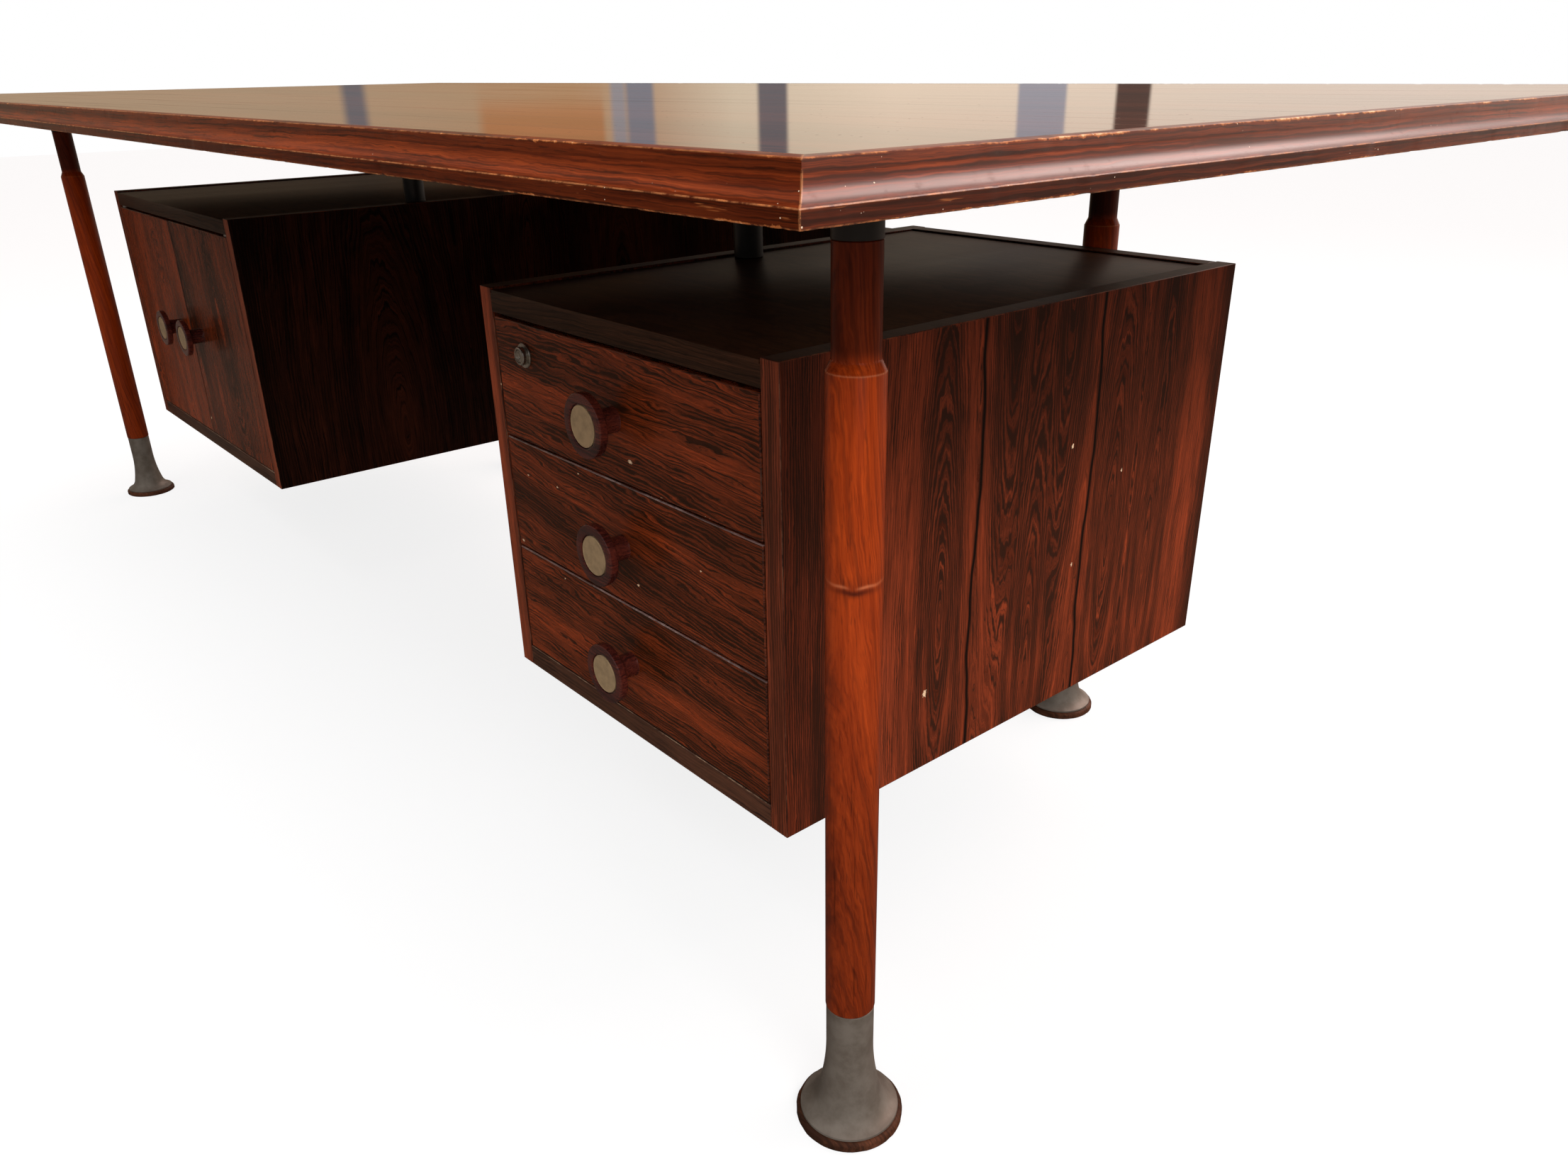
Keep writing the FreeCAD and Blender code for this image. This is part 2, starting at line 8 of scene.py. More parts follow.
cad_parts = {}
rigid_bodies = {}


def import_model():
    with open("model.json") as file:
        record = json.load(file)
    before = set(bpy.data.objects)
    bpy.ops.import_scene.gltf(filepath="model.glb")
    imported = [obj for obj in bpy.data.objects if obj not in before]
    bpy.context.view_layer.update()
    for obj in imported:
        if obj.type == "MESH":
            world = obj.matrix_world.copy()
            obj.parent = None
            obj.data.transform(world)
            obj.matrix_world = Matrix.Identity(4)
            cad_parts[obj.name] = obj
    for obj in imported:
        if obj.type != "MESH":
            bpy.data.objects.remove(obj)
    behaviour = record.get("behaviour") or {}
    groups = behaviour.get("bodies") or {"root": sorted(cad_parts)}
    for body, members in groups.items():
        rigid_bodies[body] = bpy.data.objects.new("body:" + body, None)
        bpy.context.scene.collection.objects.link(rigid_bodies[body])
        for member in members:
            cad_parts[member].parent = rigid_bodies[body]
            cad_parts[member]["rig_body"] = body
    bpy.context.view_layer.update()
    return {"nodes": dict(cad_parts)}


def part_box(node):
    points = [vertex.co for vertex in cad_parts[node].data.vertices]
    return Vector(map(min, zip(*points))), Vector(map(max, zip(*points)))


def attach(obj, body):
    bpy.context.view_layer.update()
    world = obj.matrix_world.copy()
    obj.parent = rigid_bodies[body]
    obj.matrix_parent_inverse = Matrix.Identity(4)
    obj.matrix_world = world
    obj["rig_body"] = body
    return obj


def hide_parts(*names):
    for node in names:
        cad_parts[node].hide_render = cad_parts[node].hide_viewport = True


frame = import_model()

MM = 0.001
touching = 0.05 * MM
weld = 0.01 * MM
overrun = 1.0 * MM
turned_smooth_below = math.radians(32)
board_smooth_below = math.radians(50)
arris_sharper_than = math.radians(40)

# Sizes that the frame doesn't hold by themselves
arris_round = 0.6 * MM
front_arris_round = 1.2 * MM
arris_steps = 2
upper_band_height = 5.8 * MM
cove_radius = 9.6 * MM
moulding_pitch = 3.2 * MM
moulding_soft = 0.5 * MM
chip_reach = 1.6 * MM
chip_depth = 0.8 * MM
leg_neck_radius = 15.7 * MM
leg_neck_length = 70.0 * MM
shoulder_height = 7.5 * MM
turned_lip = 0.6 * MM
post_lip = 0.8 * MM
collar_line = 6.0 * MM
foot_neck_radius = 18.8 * MM
foot_neck_start = 78.0 * MM
foot_sweep_radius = 205.0 * MM
foot_sweep_angle = math.radians(15)
foot_rim_height = 2.5 * MM
knob_disc_thickness = 8.6 * MM
knob_stem_radius = 11.6 * MM
knob_stem_flare = 1.4 * MM
knob_edge_round = 1.6 * MM
inlay_recess_radius = 20.0 * MM
inlay_recess_depth = 2.0 * MM
inlay_lip = 0.35 * MM
lid_groove_width = 2.0 * MM
lid_groove_depth = 3.0 * MM
drawer_board_thickness = 12 * MM
runner_width = 8.5 * MM
runner_half_height = 6 * MM
runner_groove_room = 0.3 * MM
cam_slot_front, cam_slot_back, cam_slot_top = -257.2 * MM, -251.7 * MM, 585.4 * MM
lock_rosette_radius = 12.0 * MM
lock_rosette_height = 2.0 * MM
lock_tube_radius = 8.75 * MM
lock_lip = 0.45 * MM
key_slot_half_width = 0.7 * MM
key_slot_half_height = 3.4 * MM
key_slot_depth = 4 * MM
sides_of_turning = 72

# Figure of the outer side's veneer, read from the photograph in millimetres: the joints
# as (across, change of tone), the eyes as (across, along, narrowness) and the pale chips
# as (along, across, radius)
leaf_joints = ((-52, 0.0), (113, 0.04))
side_eyes = ((-96, 345, 0.11), (-12, 660, 0.1), (64, 665, 0.08), (152, 350, 0.1), (32, 200, 0.07),
             (225, 260, 0.04))
side_marks = ((458, 81, 2.2), (415, 166, 1.6), (266, -112, 3.4), (333, 96, 1.6))

# The front right leg's knot, drawn as painted shadow and highlight: its height, and the side of the leg that
# it is on
knot_height = 480 * MM
knot_side = Vector((0.696, 0.718))

# Shares of a seed by which a finish is shifted across the grain and into the wood
across_shift = 0.37
deep_shift = 0.71


class Value:
    """A socket of a node tree that can take part in sums."""

    def __init__(self, tree, socket):
        self.tree = tree
        self.socket = socket

    def math(self, operation, *others, first=None):
        values = (self, *others) if first is None else (first, self)
        return self.tree.node("Math", {"operation": operation}, dict(enumerate(values)))

    def __add__(self, other):
        return self.math("ADD", other)

    def __sub__(self, other):
        return self.math("SUBTRACT", other)

    def __rsub__(self, other):
        return self.math("SUBTRACT", first=other)

    def __mul__(self, other):
        return self.math("MULTIPLY", other)

    def __truediv__(self, other):
        return self.math("DIVIDE", other)

    def __rtruediv__(self, other):
        return self.math("DIVIDE", first=other)

    def __pow__(self, other):
        return self.math("POWER", other)

    __radd__ = __add__
    __rmul__ = __mul__


class Tree:
    """The nodes of one material, or of the world."""

    def __init__(self, owner):
        owner.use_nodes = True
        self.owner = owner
        self.nodes = owner.node_tree.nodes
        self.links = owner.node_tree.links
        self.nodes.clear()

    def node(self, kind, settings=(), sockets=(), out=0):
        made = self.nodes.new("ShaderNode" + kind)
        for key, value in dict(settings).items():
            if key == "stops":
                fill_ramp(made.color_ramp, value)
            else:
                setattr(made, key, value)
        for key, value in dict(sockets).items():
            if isinstance(value, Value):
                self.links.new(value.socket, made.inputs[key])
            else:
                made.inputs[key].default_value = value
        return Value(self, made.outputs[out]) if made.outputs else made


def fill_ramp(ramp, stops):
    while len(ramp.elements) < len(stops):
        ramp.elements.new(0.5)
    for element, (place, colour) in zip(ramp.elements, stops):
        element.position = place
        element.color = (*colour, 1)


# Small sentences made of nodes
def place_of(tree):
    return tree.node("TexCoord", out="Object")


def split(vector):
    return [vector.tree.node("SeparateXYZ", (), {0: vector}, out=axis) for axis in range(3)]


def vec(x, y, z):
    tree = next(item.tree for item in (x, y, z) if isinstance(item, Value))
    return tree.node("CombineXYZ", (), {0: x, 1: y, 2: z})


def cloud(vector, scale=1.0, detail=2.0, rough=0.5):
    """Soft noise from 0 to 1."""
    sockets = {"Vector": vector, "Scale": scale, "Detail": detail, "Roughness": rough}
    return vector.tree.node("TexNoise", {"noise_dimensions": "3D"}, sockets)


def soft_step(value, low, high):
    """0 at low and 1 at high, with a smooth change between them; high may be the lower one."""
    return value.tree.node("MapRange", {"interpolation_type": "SMOOTHSTEP"},
                           {0: value, 1: low, 2: high, 3: 0.0, 4: 1.0})


def mix(share, first, second):
    """Colour between two colours."""
    def as_colour(item):
        return item if isinstance(item, Value) else (*item, 1)
    return share.tree.node("Mix", {"data_type": "RGBA", "clamp_factor": True},
                           {0: share, 6: as_colour(first), 7: as_colour(second)}, out=2)


def shade(colour, factor):
    """Colour times a value."""
    return colour.tree.node("VectorMath", {"operation": "SCALE"}, {0: colour, 3: factor})


def ramp(value, stops):
    return value.tree.node("ValToRGB", {"stops": stops}, {0: value})


def relief(height, strength, distance):
    return height.tree.node("Bump", (), {"Height": height, "Strength": strength, "Distance": distance})


def surface(tree, colour, roughness, normal=None, metallic=0.0, shine=0.5):
    """The one shader that each finish ends in; shine is how strongly its surface mirrors."""
    sockets = {"Base Color": colour, "Roughness": roughness, "Metallic": metallic,
               "Specular IOR Level": shine}
    if normal is not None:
        sockets["Normal"] = normal
    shader = tree.node("BsdfPrincipled", (), sockets)
    tree.node("OutputMaterial", (), {0: shader})
    return tree.owner


def finish(name):
    return Tree(bpy.data.materials.new(name))


# Rosewood and its finishes
def bell(value, middle, width):
    """A hump of height 1 at middle."""
    off = (value - middle) / width
    return (0 - off * off).math("EXPONENT")


def axes(tree, grain, seed):
    """Coordinates along the grain, across it and into the wood."""
    x, y, z = split(place_of(tree))
    along, across, deep = {"x": (x, z, y), "y": (y, z, x), "z": (z, y, x),
                           "zx": (z, x, y), "xy": (x, y, z)}[grain]
    return along + seed, across + seed * across_shift, deep + seed * deep_shift


def along_at(place, seed):
    """A place along the grain, in millimetres, as a coordinate of the shifted finish."""
    return place * MM + seed


def across_at(place, seed):
    """A place across the grain, in millimetres, as a coordinate of the shifted finish."""
    return place * MM + seed * across_shift


def rosewood(tree, grain, seed, rings=230, wander=45, waves=8, slant=0.0, tone=0.0, band_scale=16,
             line=0.92, dark=(0.014, 0.005, 0.003), mid=(0.07, 0.016, 0.007), light=(0.25, 0.045, 0.012),
             eyes=(), joints=()):
    """Colour of rosewood, its dark lines, its fine streaks and the coordinates along and across.

    Rings are how many dark lines a metre holds, wander and waves how far they stray, in
    millimetres. Eyes are (across, along, narrowness) and joints (across, change of tone).
    """
    along, across, deep = axes(tree, grain, seed)
    spread = across + along * slant
    for number, (eye_across, eye_along, narrow) in enumerate(eyes):
        off = across - across_at(eye_across, seed)
        rise = (along - along_at(eye_along, seed)) * narrow
        distance = (off * off + rise * rise) ** 0.5
        spread = spread.math("SMOOTH_MIN", distance, 12 * MM) if number else distance
    sway = cloud(vec(along * 1.6, across * 7, deep * 6), detail=2) - 0.5
    shiver = cloud(vec(along * 15, across * 75, deep * 40), detail=3) - 0.5
    jogs = cloud(vec(along * 75, across * 260, deep * 90), detail=2) - 0.5
    bent = spread + sway * (wander * MM) + shiver * (waves * MM) + jogs * (1.9 * MM)
    bands = cloud(vec(along * 0.6, bent * band_scale, deep * 5), detail=3, rough=0.6) - 0.5
    weight = cloud(vec(along * 14, bent * 120, deep * 40), detail=3) - 0.5
    fibres = cloud(vec(along * 14, bent * 650, deep * 300), detail=3, rough=0.6) - 0.5
    darker = bands * -2.6 - tone * 2
    for joint, change in joints:
        side = soft_step(across, across_at(joint - 1, seed), across_at(joint + 1, seed))
        darker = darker - side * (change * 2)
    ring = (bent * rings).math("PINGPONG", 0.5) * 2
    hair = (bent * (rings * 3.1) + weight * 2).math("PINGPONG", 0.5) * 2
    crowding = darker.math("MAXIMUM", -0.12)
    lines = soft_step(ring + crowding + weight * 1.7, 0.58, 0.92)
    lines = lines.math("MAXIMUM", soft_step(hair + crowding * 0.5 + weight, 0.62, 1.0) * 0.6)
    deepest = tuple(0.45 * part for part in mid)
    ground = ramp(0.5 + fibres * 0.9 - darker * 0.34, ((0.22, deepest), (0.46, mid), (0.8, light)))
    colour = mix(lines * line, ground, dark)
    pores = soft_step(cloud(vec(along * 75, across * 1500, deep * 900), detail=1), 0.63, 0.72)
    colour = mix(pores * 0.5, colour, dark)
    for joint, change in joints:
        wobble = (cloud(vec(along * 5, 0.0, 0.0), detail=3) - 0.5) * 0.03
        stripe = bell(across + wobble, across_at(joint, seed), 2.4 * MM)
        colour = mix(stripe * 1.2, colour, (0.006, 0.003, 0.002))
    return colour, lines, fibres, along, across


def veneer_finish(name, grain, seed, roughness=0.3, marks=(), shine=0.1, painted_shade_heights=(), **look):
    """Polished rosewood veneer, with pale chips at marks, as (along, across, radius) in millimetres.

    The painted shade heights are where, in metres, the wood is painted darkest, as shade under the top, and
    where it is lightest.
    """
    tree = finish(name)
    colour, lines, fibres, along, across = rosewood(tree, grain, seed, **look)
    if painted_shade_heights:
        # Painted shade: the veneer is painted darker towards the top, where the top shades it, and lighter
        # lower down
        height = split(place_of(tree))[2]
        colour = shade(colour, 0.62 + soft_step(height, *painted_shade_heights) * 0.64)
    jitter = (cloud(place_of(tree), scale=900, detail=1) - 0.5) * 1.6
    for mark_along, mark_across, radius in marks:
        off, rise = across - across_at(mark_across, seed), along - along_at(mark_along, seed)
        away = (off * off + rise * rise * 0.4) ** 0.5 / (radius * MM)
        colour = mix(soft_step(away + jitter, 0.75, 0.5), colour, (0.66, 0.47, 0.3))
    gloss = roughness + fibres * 0.14 + lines * 0.04
    return surface(tree, colour, gloss, relief(fibres - lines * 0.4, 0.08, 0.08 * MM), shine=shine)


def arris_finish(name, grain, seed, worn=(0.3, 0.13, 0.06), shine=0.25, **look):
    """The rubbed edge of a board."""
    tree = finish(name)
    colour = rosewood(tree, grain, seed, **look)[0]
    rubbed = cloud(place_of(tree), scale=38, detail=4, rough=0.7)
    colour = mix(soft_step(rubbed, 0.47, 0.66) * 0.8, colour, worn)
    colour = mix(soft_step(rubbed, 0.69, 0.72), colour, (0.62, 0.42, 0.25))
    return surface(tree, colour, 0.36 + (rubbed - 0.5) * 0.3, relief(rubbed, 0.2, 0.1 * MM), shine=shine)


def top_finish():
    """Polished top: a hard mirror gloss over dark wood, with faint long streaks and specks."""
    tree = finish("polished_top_wood")
    colour, _, _, along, across = rosewood(tree, "xy", 0.4, rings=120, band_scale=9, tone=-0.04,
                                           light=(0.13, 0.034, 0.015))
    drag = cloud(vec(along * 1.4, across * 60, 0.0), detail=4, rough=0.7)
    specks = soft_step(cloud(place_of(tree), scale=230, detail=1), 0.76, 0.79)
    gloss = 0.06 + soft_step(drag, 0.5, 0.75) * 0.1 + specks * 0.35
    wave = cloud(vec(along * 3, across * 22, 0.0), detail=3)
    colour = mix(specks * 0.7, colour, (0.02, 0.01, 0.008))
    return surface(tree, colour, gloss, relief(wave + drag * 0.3, 0.05, 0.25 * MM))


def moulding_finish(name, grain, outer, seed, shine):
    """Edge moulding: streaks along its length, with its arrises rubbed to orange and straw; its upright bands
    darkened by painted shade, and the end mouldings lightened by painted light.
    """
    tree = finish(name)
    colour, _, fibres, along, across = rosewood(
        tree, grain, seed, rings=330, wander=12, waves=2.5, band_scale=60, tone=0.06, line=0.65,
        dark=(0.018, 0.0045, 0.0018), mid=(0.08, 0.0115, 0.0026), light=(0.2, 0.032, 0.006))
    at_end = grain == "y"
    x, y, z = split(place_of(tree))
    inward = outer - (x if at_end else y).math("ABSOLUTE")
    under, top = (corner.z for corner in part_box("edge_moulding_front"))
    ledge = top - upper_band_height - cove_radius
    ragged = cloud(place_of(tree), scale=120, detail=5, rough=0.72)
    patchy = cloud(place_of(tree), scale=11, detail=3)
    corner = bell(x, half_length, 150 * MM) * bell(y, -half_depth, 150 * MM)
    hurt = ragged * 0.6 + patchy * 0.4 + corner * 0.07
    low_band = soft_step(z, ledge + 0.4 * MM, ledge - 0.4 * MM)
    band = soft_step(z, ledge + cove_radius - 0.3 * MM, ledge + cove_radius + 0.3 * MM)
    # Painted shade and light: the upper and lower upright bands are painted darker than the cove, and the end
    # mouldings painted lighter, where more light falls
    colour = shade(colour, (1 - low_band * 0.45 - band * 0.35) * (1.35 if at_end else 1.0))
    arrises = ((top, cove_radius, 0.46 if at_end else 0.51, 11),
               (ledge, 0.0, 0.52, 6), (under, 0.0, 0.49, 10))
    for height, inset, start, reach in arrises:
        off = inward - inset
        rise = z - height
        away = (off * off + rise * rise) ** 0.5
        width = ((hurt - start) * (reach * MM)).math("MAXIMUM", 0.05 * MM)
        thread = soft_step(away, 0.9 * MM, 0.35 * MM) * soft_step(ragged, 0.36, 0.56)
        colour = mix(thread * 0.6, colour, (0.36, 0.13, 0.045))
        colour = mix(soft_step(away, width, width * 0.6) * 0.85, colour, (0.36, 0.11, 0.03))
        straw = soft_step(away, width * 0.5, width * 0.25) * soft_step(ragged, 0.5, 0.6)
        colour = mix(straw, colour, (0.6, 0.37, 0.19))
    mitre = (half_length - x.math("ABSOLUTE") - half_depth + y.math("ABSOLUTE")).math("ABSOLUTE")
    rubbed_mitre = soft_step(mitre, 0.9 * MM, 0.3 * MM) * soft_step(ragged, 0.4, 0.55) * 0.6
    colour = mix(rubbed_mitre, colour, (0.4, 0.16, 0.06))
    scrape = cloud(vec(along * 22, across * 300, 0.0), detail=3, rough=0.7)
    scraped = low_band * soft_step(scrape + corner * 0.05, 0.66, 0.72) * 0.6
    colour = mix(scraped, colour, (0.3, 0.09, 0.025))
    nicks = cloud(vec(x * 420, y * 420, z * 600), detail=1)
    nicked = soft_step(nicks + corner * 0.02 + low_band * 0.015, 0.805, 0.825)
    colour = mix(nicked, colour, (0.62, 0.47, 0.34))
    gloss = 0.3 + fibres * 0.12 + soft_step(ragged, 0.55, 0.7) * 0.1
    return surface(tree, colour, gloss, relief(fibres + ragged * 0.4, 0.12, 0.12 * MM), shine=shine)


def dark_satin_finish(name, grain, seed):
    tree = finish(name)
    colour, _, _, along, across = rosewood(
        tree, grain, seed, tone=0.0, line=0.6, dark=(0.026, 0.0105, 0.005), mid=(0.048, 0.019, 0.009),
        light=(0.075, 0.029, 0.013))
    scuffs = cloud(vec(along * 14, across * 14, 0.0), detail=3, rough=0.6)
    return surface(tree, colour, 0.46 + (scuffs - 0.5) * 0.1, relief(scuffs, 0.01, 0.1 * MM), shine=0.05)


def turned_finish(name, seed):
    """Legs: warm upright grain, with painted shade up in the neck, darker down at the foot, a painted
    highlight under the shoulder, and a knot on one drawn as painted shadow and highlight.
    """
    tree = finish(name)
    x, y, z = split(place_of(tree))
    colour, lines, fibres, _, _ = rosewood(
        tree, "z", seed, rings=150, wander=70, waves=7, band_scale=34, tone=0.12, line=0.42, slant=0.1,
        dark=(0.08, 0.012, 0.0035), mid=(0.205, 0.0235, 0.0032), light=(0.36, 0.046, 0.005))
    # The knot is painted light and shade: a painted shadow under its crease and a painted highlight on its
    # lips
    round_it = (x - front_right.x) * knot_side.x + (y - front_right.y) * knot_side.y
    this_leg = bell(round_it, 0.0, 15 * MM) * soft_step(x, 0.9, 1.0) * soft_step(y, 0.0, -0.1)
    sway = cloud(vec(x * 60, y * 60, 0.0), detail=1) - 0.5
    fold = z + sway * (6 * MM) + bell(round_it, 0.0, 9 * MM) * (1.6 * MM)
    lips = 1 - bell(round_it, -1 * MM, 6 * MM)
    shadow = bell(fold, knot_height - 2 * MM, 2.2 * MM) + bell(fold, knot_height + 3 * MM, 5 * MM) * 0.35
    colour = mix(shadow * this_leg * 0.8, colour, (0.045, 0.007, 0.003))
    glint = bell(fold, knot_height + 1.5 * MM, 1.1 * MM) * this_leg * lips * 0.75
    colour = mix(glint, colour, (0.55, 0.17, 0.07))
    # Painted shade: the neck, under the top, is painted much darker; the leg is also darker down towards the
    # foot
    neck = soft_step(z, shoulder_place - 4 * MM, shoulder_place + 12 * MM)
    low = soft_step(z, shoulder_place - 0.1, 0.2)
    streaks = soft_step(cloud(vec(x * 420, y * 420, z * 9), detail=2), 0.6, 0.68) * low
    colour = shade(colour, 1 - neck * 0.71 - low * 0.42 - streaks * 0.25)
    rim = bell(z, shoulder_place, shoulder_height * 0.55)
    # Painted highlight: a thin light line round the shoulder's lower rim
    lit_line = bell(z, shoulder_place - shoulder_height * 0.5, 0.5 * MM) * 0.35
    colour = mix(lit_line, colour, (0.45, 0.16, 0.07))
    tool_marks = cloud(vec(0.0, 0.0, z * 1500), detail=1)
    height = fibres - lines * 0.3 + tool_marks * rim * 2
    return surface(tree, colour, 0.33 + fibres * 0.16 - rim * 0.12, relief(height, 0.12, 0.1 * MM), shine=0.1)


def gunmetal_finish():
    tree = finish("gunmetal")
    mottle = cloud(place_of(tree), scale=55, detail=4, rough=0.65)
    grit = cloud(place_of(tree), scale=900, detail=2)
    colour = mix(soft_step(mottle, 0.3, 0.7), (0.12, 0.098, 0.078), (0.175, 0.15, 0.125))
    gloss = 0.5 + (mottle - 0.5) * 0.2
    return surface(tree, colour, gloss, relief(grit, 0.12, 0.05 * MM), metallic=0.4, shine=0.3)


def metal_finish(name, colour, roughness, metallic=1.0):
    """Metal with fine scratches and a little tarnish."""
    tree = finish(name)
    x, y, z = split(place_of(tree))
    tarnish = cloud(place_of(tree), scale=120, detail=4, rough=0.6)
    scratch = cloud(vec(x * 260, y * 260, z * 2600), detail=3, rough=0.7)
    worn = mix(soft_step(tarnish, 0.35, 0.75), colour, tuple(0.72 * part for part in colour))
    gloss = roughness + (tarnish - 0.5) * 0.16 + (scratch - 0.5) * 0.12
    return surface(tree, worn, gloss, relief(scratch, 0.08, 0.03 * MM), metallic=metallic)


def plain_wood_finish(name, grain, seed):
    """Unpolished drawer and shelf wood: light reddish brown with fine straight grain."""
    tree = finish(name)
    along, across, deep = axes(tree, grain, seed)
    sway = cloud(vec(along * 1.5, across * 5, deep * 5), detail=2) - 0.5
    rings = (across * 190 + sway * 9).math("PINGPONG", 0.5) * 2
    streaks = cloud(vec(along * 16, across * 500, deep * 500), detail=3, rough=0.7)
    stain = cloud(place_of(tree), scale=7, detail=4, rough=0.6)
    level = rings * 0.35 + streaks * 0.45 + stain * 0.3
    colour = ramp(level, ((0.2, (0.17, 0.07, 0.032)), (0.5, (0.29, 0.13, 0.06)), (0.85, (0.4, 0.2, 0.1))))
    return surface(tree, colour, 0.5 + (streaks - 0.5) * 0.2, relief(streaks, 0.25, 0.1 * MM))


# Modelling by hand
def put_down():
    """Leaves edit mode and selects nothing."""
    if bpy.context.mode != "OBJECT":
        bpy.ops.object.mode_set(mode="OBJECT")
    bpy.ops.object.select_all(action="DESELECT")


def begin(add, **values):
    """Adds a primitive and opens it in edit mode, all selected."""
    put_down()
    add(**values)
    bpy.ops.object.transform_apply(location=True, rotation=True, scale=True)
    bpy.ops.object.mode_set(mode="EDIT")
    return bpy.context.object


def pick(kind, wanted):
    """Selects the verts, edges or faces of the piece in hand that wanted accepts."""
    bpy.ops.mesh.select_mode(type={"verts": "VERT", "edges": "EDGE", "faces": "FACE"}[kind])
    bpy.ops.mesh.select_all(action="DESELECT")
    data = bpy.context.object.data
    shape = bmesh.from_edit_mesh(data)
    for item in getattr(shape, kind):
        if wanted(item):
            item.select_set(True)
    shape.select_flush_mode()
    bmesh.update_edit_mesh(data)


def draw_out(offset):
    """Extrudes the picked faces by an offset."""
    bpy.ops.mesh.extrude_region_move(TRANSFORM_OT_translate={"value": offset})


def close_up(name):
    """Ends a piece: doubles merged, faces outwards, smooth but for its arrises."""
    bpy.ops.mesh.select_all(action="SELECT")
    bpy.ops.mesh.remove_doubles(threshold=weld)
    bpy.ops.mesh.normals_make_consistent(inside=False)
    bpy.ops.object.mode_set(mode="OBJECT")
    piece = bpy.context.object
    piece.name = name
    piece.data.name = name
    bpy.ops.object.shade_smooth_by_angle(angle=turned_smooth_below)
    return piece


def bevel_off(piece, width=arris_round, material=1):
    """Rounds the arrises of the piece in hand; the rounded strips take another of its finishes."""
    bpy.ops.object.modifier_add(type="BEVEL")
    bevel = piece.modifiers[-1]
    bevel.width = width
    bevel.segments = arris_steps
    bevel.limit_method = "ANGLE"
    bevel.angle_limit = arris_sharper_than
    bevel.material = material
    bpy.ops.object.modifier_apply(modifier=bevel.name)
    bpy.ops.object.shade_smooth_by_angle(angle=board_smooth_below)


def dress(piece, slot, body, nodes, *finishes):
    """Gives a piece its finishes and its body, and hides the nodes that it stands for."""
    for material in finishes[len(piece.data.materials):]:
        piece.data.materials.append(material)
    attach(piece, body)
    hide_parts(*nodes)


def body_of(node):
    return frame["nodes"][node]["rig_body"]


def cube(low, high):
    """Opens a block from low to high in edit mode, a start for a board or a cutter."""
    size = [b - a for a, b in zip(low, high)]
    middle = [(a + b) / 2 for a, b in zip(low, high)]
    return begin(bpy.ops.mesh.primitive_cube_add, size=1, location=middle, scale=size)


def carve(piece, low, high):
    """Cuts a box from low to high out of a piece."""
    box = cube(low, high)
    close_up("cutter")
    put_down()
    bpy.context.view_layer.objects.active = piece
    piece.select_set(True)
    cutter = piece.modifiers.new("cut", "BOOLEAN")
    cutter.operation = "DIFFERENCE"
    cutter.object = box
    cutter.solver = "EXACT"
    bpy.ops.object.modifier_apply(modifier=cutter.name)
    put_away(box)


def board(name, node, slot, finishes, cuts=(), width=arris_round, others=None):
    """A board in a node's place, less some boxes, its arrises rounded.

    Finish 0 is the board's and 1 its arrises'; others gives some faces one of the rest.
    """
    low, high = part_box(node)
    piece = cube(low, high)
    close_up(name)
    for cut in cuts:
        carve(piece, *cut)
    for material in finishes:
        piece.data.materials.append(material)
    bevel_off(piece, width)
    for face in piece.data.polygons if others else ():
        face.material_index = others(face) or face.material_index
    dress(piece, slot, body_of(node), [node])


def turn(name, profile):
    """A turned piece about the Z axis from its (radius, height) profile, drawn out from its first disc."""
    radius, height = profile[0]
    begin(bpy.ops.mesh.primitive_circle_add, vertices=sides_of_turning, radius=radius,
          location=(0, 0, height), fill_type="NGON")
    bpy.ops.mesh.select_mode(type="FACE")
    bpy.ops.mesh.select_all(action="SELECT")
    for next_radius, next_height in profile[1:]:
        draw_out((0, 0, next_height - height))
        share = next_radius / radius
        bpy.ops.transform.resize(value=(share, share, 1), center_override=(0, 0, next_height))
        radius, height = next_radius, next_height
    return close_up(name)


def arc(middle, radius, start, end, steps):
    """Points of an arc in a profile; the angles are in degrees from the outward direction."""
    for number in range(steps + 1):
        angle = math.radians(start + (end - start) * number / steps)
        yield (middle[0] + radius * math.cos(angle), middle[1] + radius * math.sin(angle))


def copy_of(piece, name, matrix):
    """A copy with its own mesh, moved there by a matrix."""
    twin = piece.copy()
    twin.data = piece.data.copy()
    twin.name = name
    twin.data.name = name
    twin.data.transform(matrix)
    bpy.context.scene.collection.objects.link(twin)
    return twin


def put_away(piece):
    """Deletes a cutter or a pattern that has been copied."""
    bpy.data.objects.remove(piece)


def joined(pieces, name):
    """Several meshes as one piece."""
    put_down()
    for piece in pieces:
        piece.select_set(True)
    bpy.context.view_layer.objects.active = pieces[0]
    bpy.ops.object.join()
    pieces[0].name = name
    pieces[0].data.name = name
    return pieces[0]


# Edge mouldings
def rough_up(piece, outer, hurt_end):
    """Small chips along the arrises of a moulding on the front side, deeper near its hurt end."""
    low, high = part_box("edge_moulding_front")
    ledge = high.z - upper_band_height - cove_radius
    arrises = ((high.z, outer + cove_radius, 1.0), (ledge, outer, 0.8), (low.z, outer, -1.0))
    for vertex in piece.data.vertices:
        x, y, z = vertex.co
        near_end = math.exp(-((x - hurt_end) / (170 * MM)) ** 2)
        for height, at_y, inwards in arrises:
            away = math.hypot(y - at_y, z - height)
            if away > chip_reach:
                continue
            bite = noise.noise(Vector((x * 95, height * 400, outer * 3)))
            bite += 0.6 * noise.noise(Vector((x * 310, height * 400, outer * 3)))
            depth = max(0.0, bite - 0.36 + 0.25 * near_end) * chip_depth
            vertex.co.y += depth * 0.7
            vertex.co.z -= depth * 0.7 * inwards


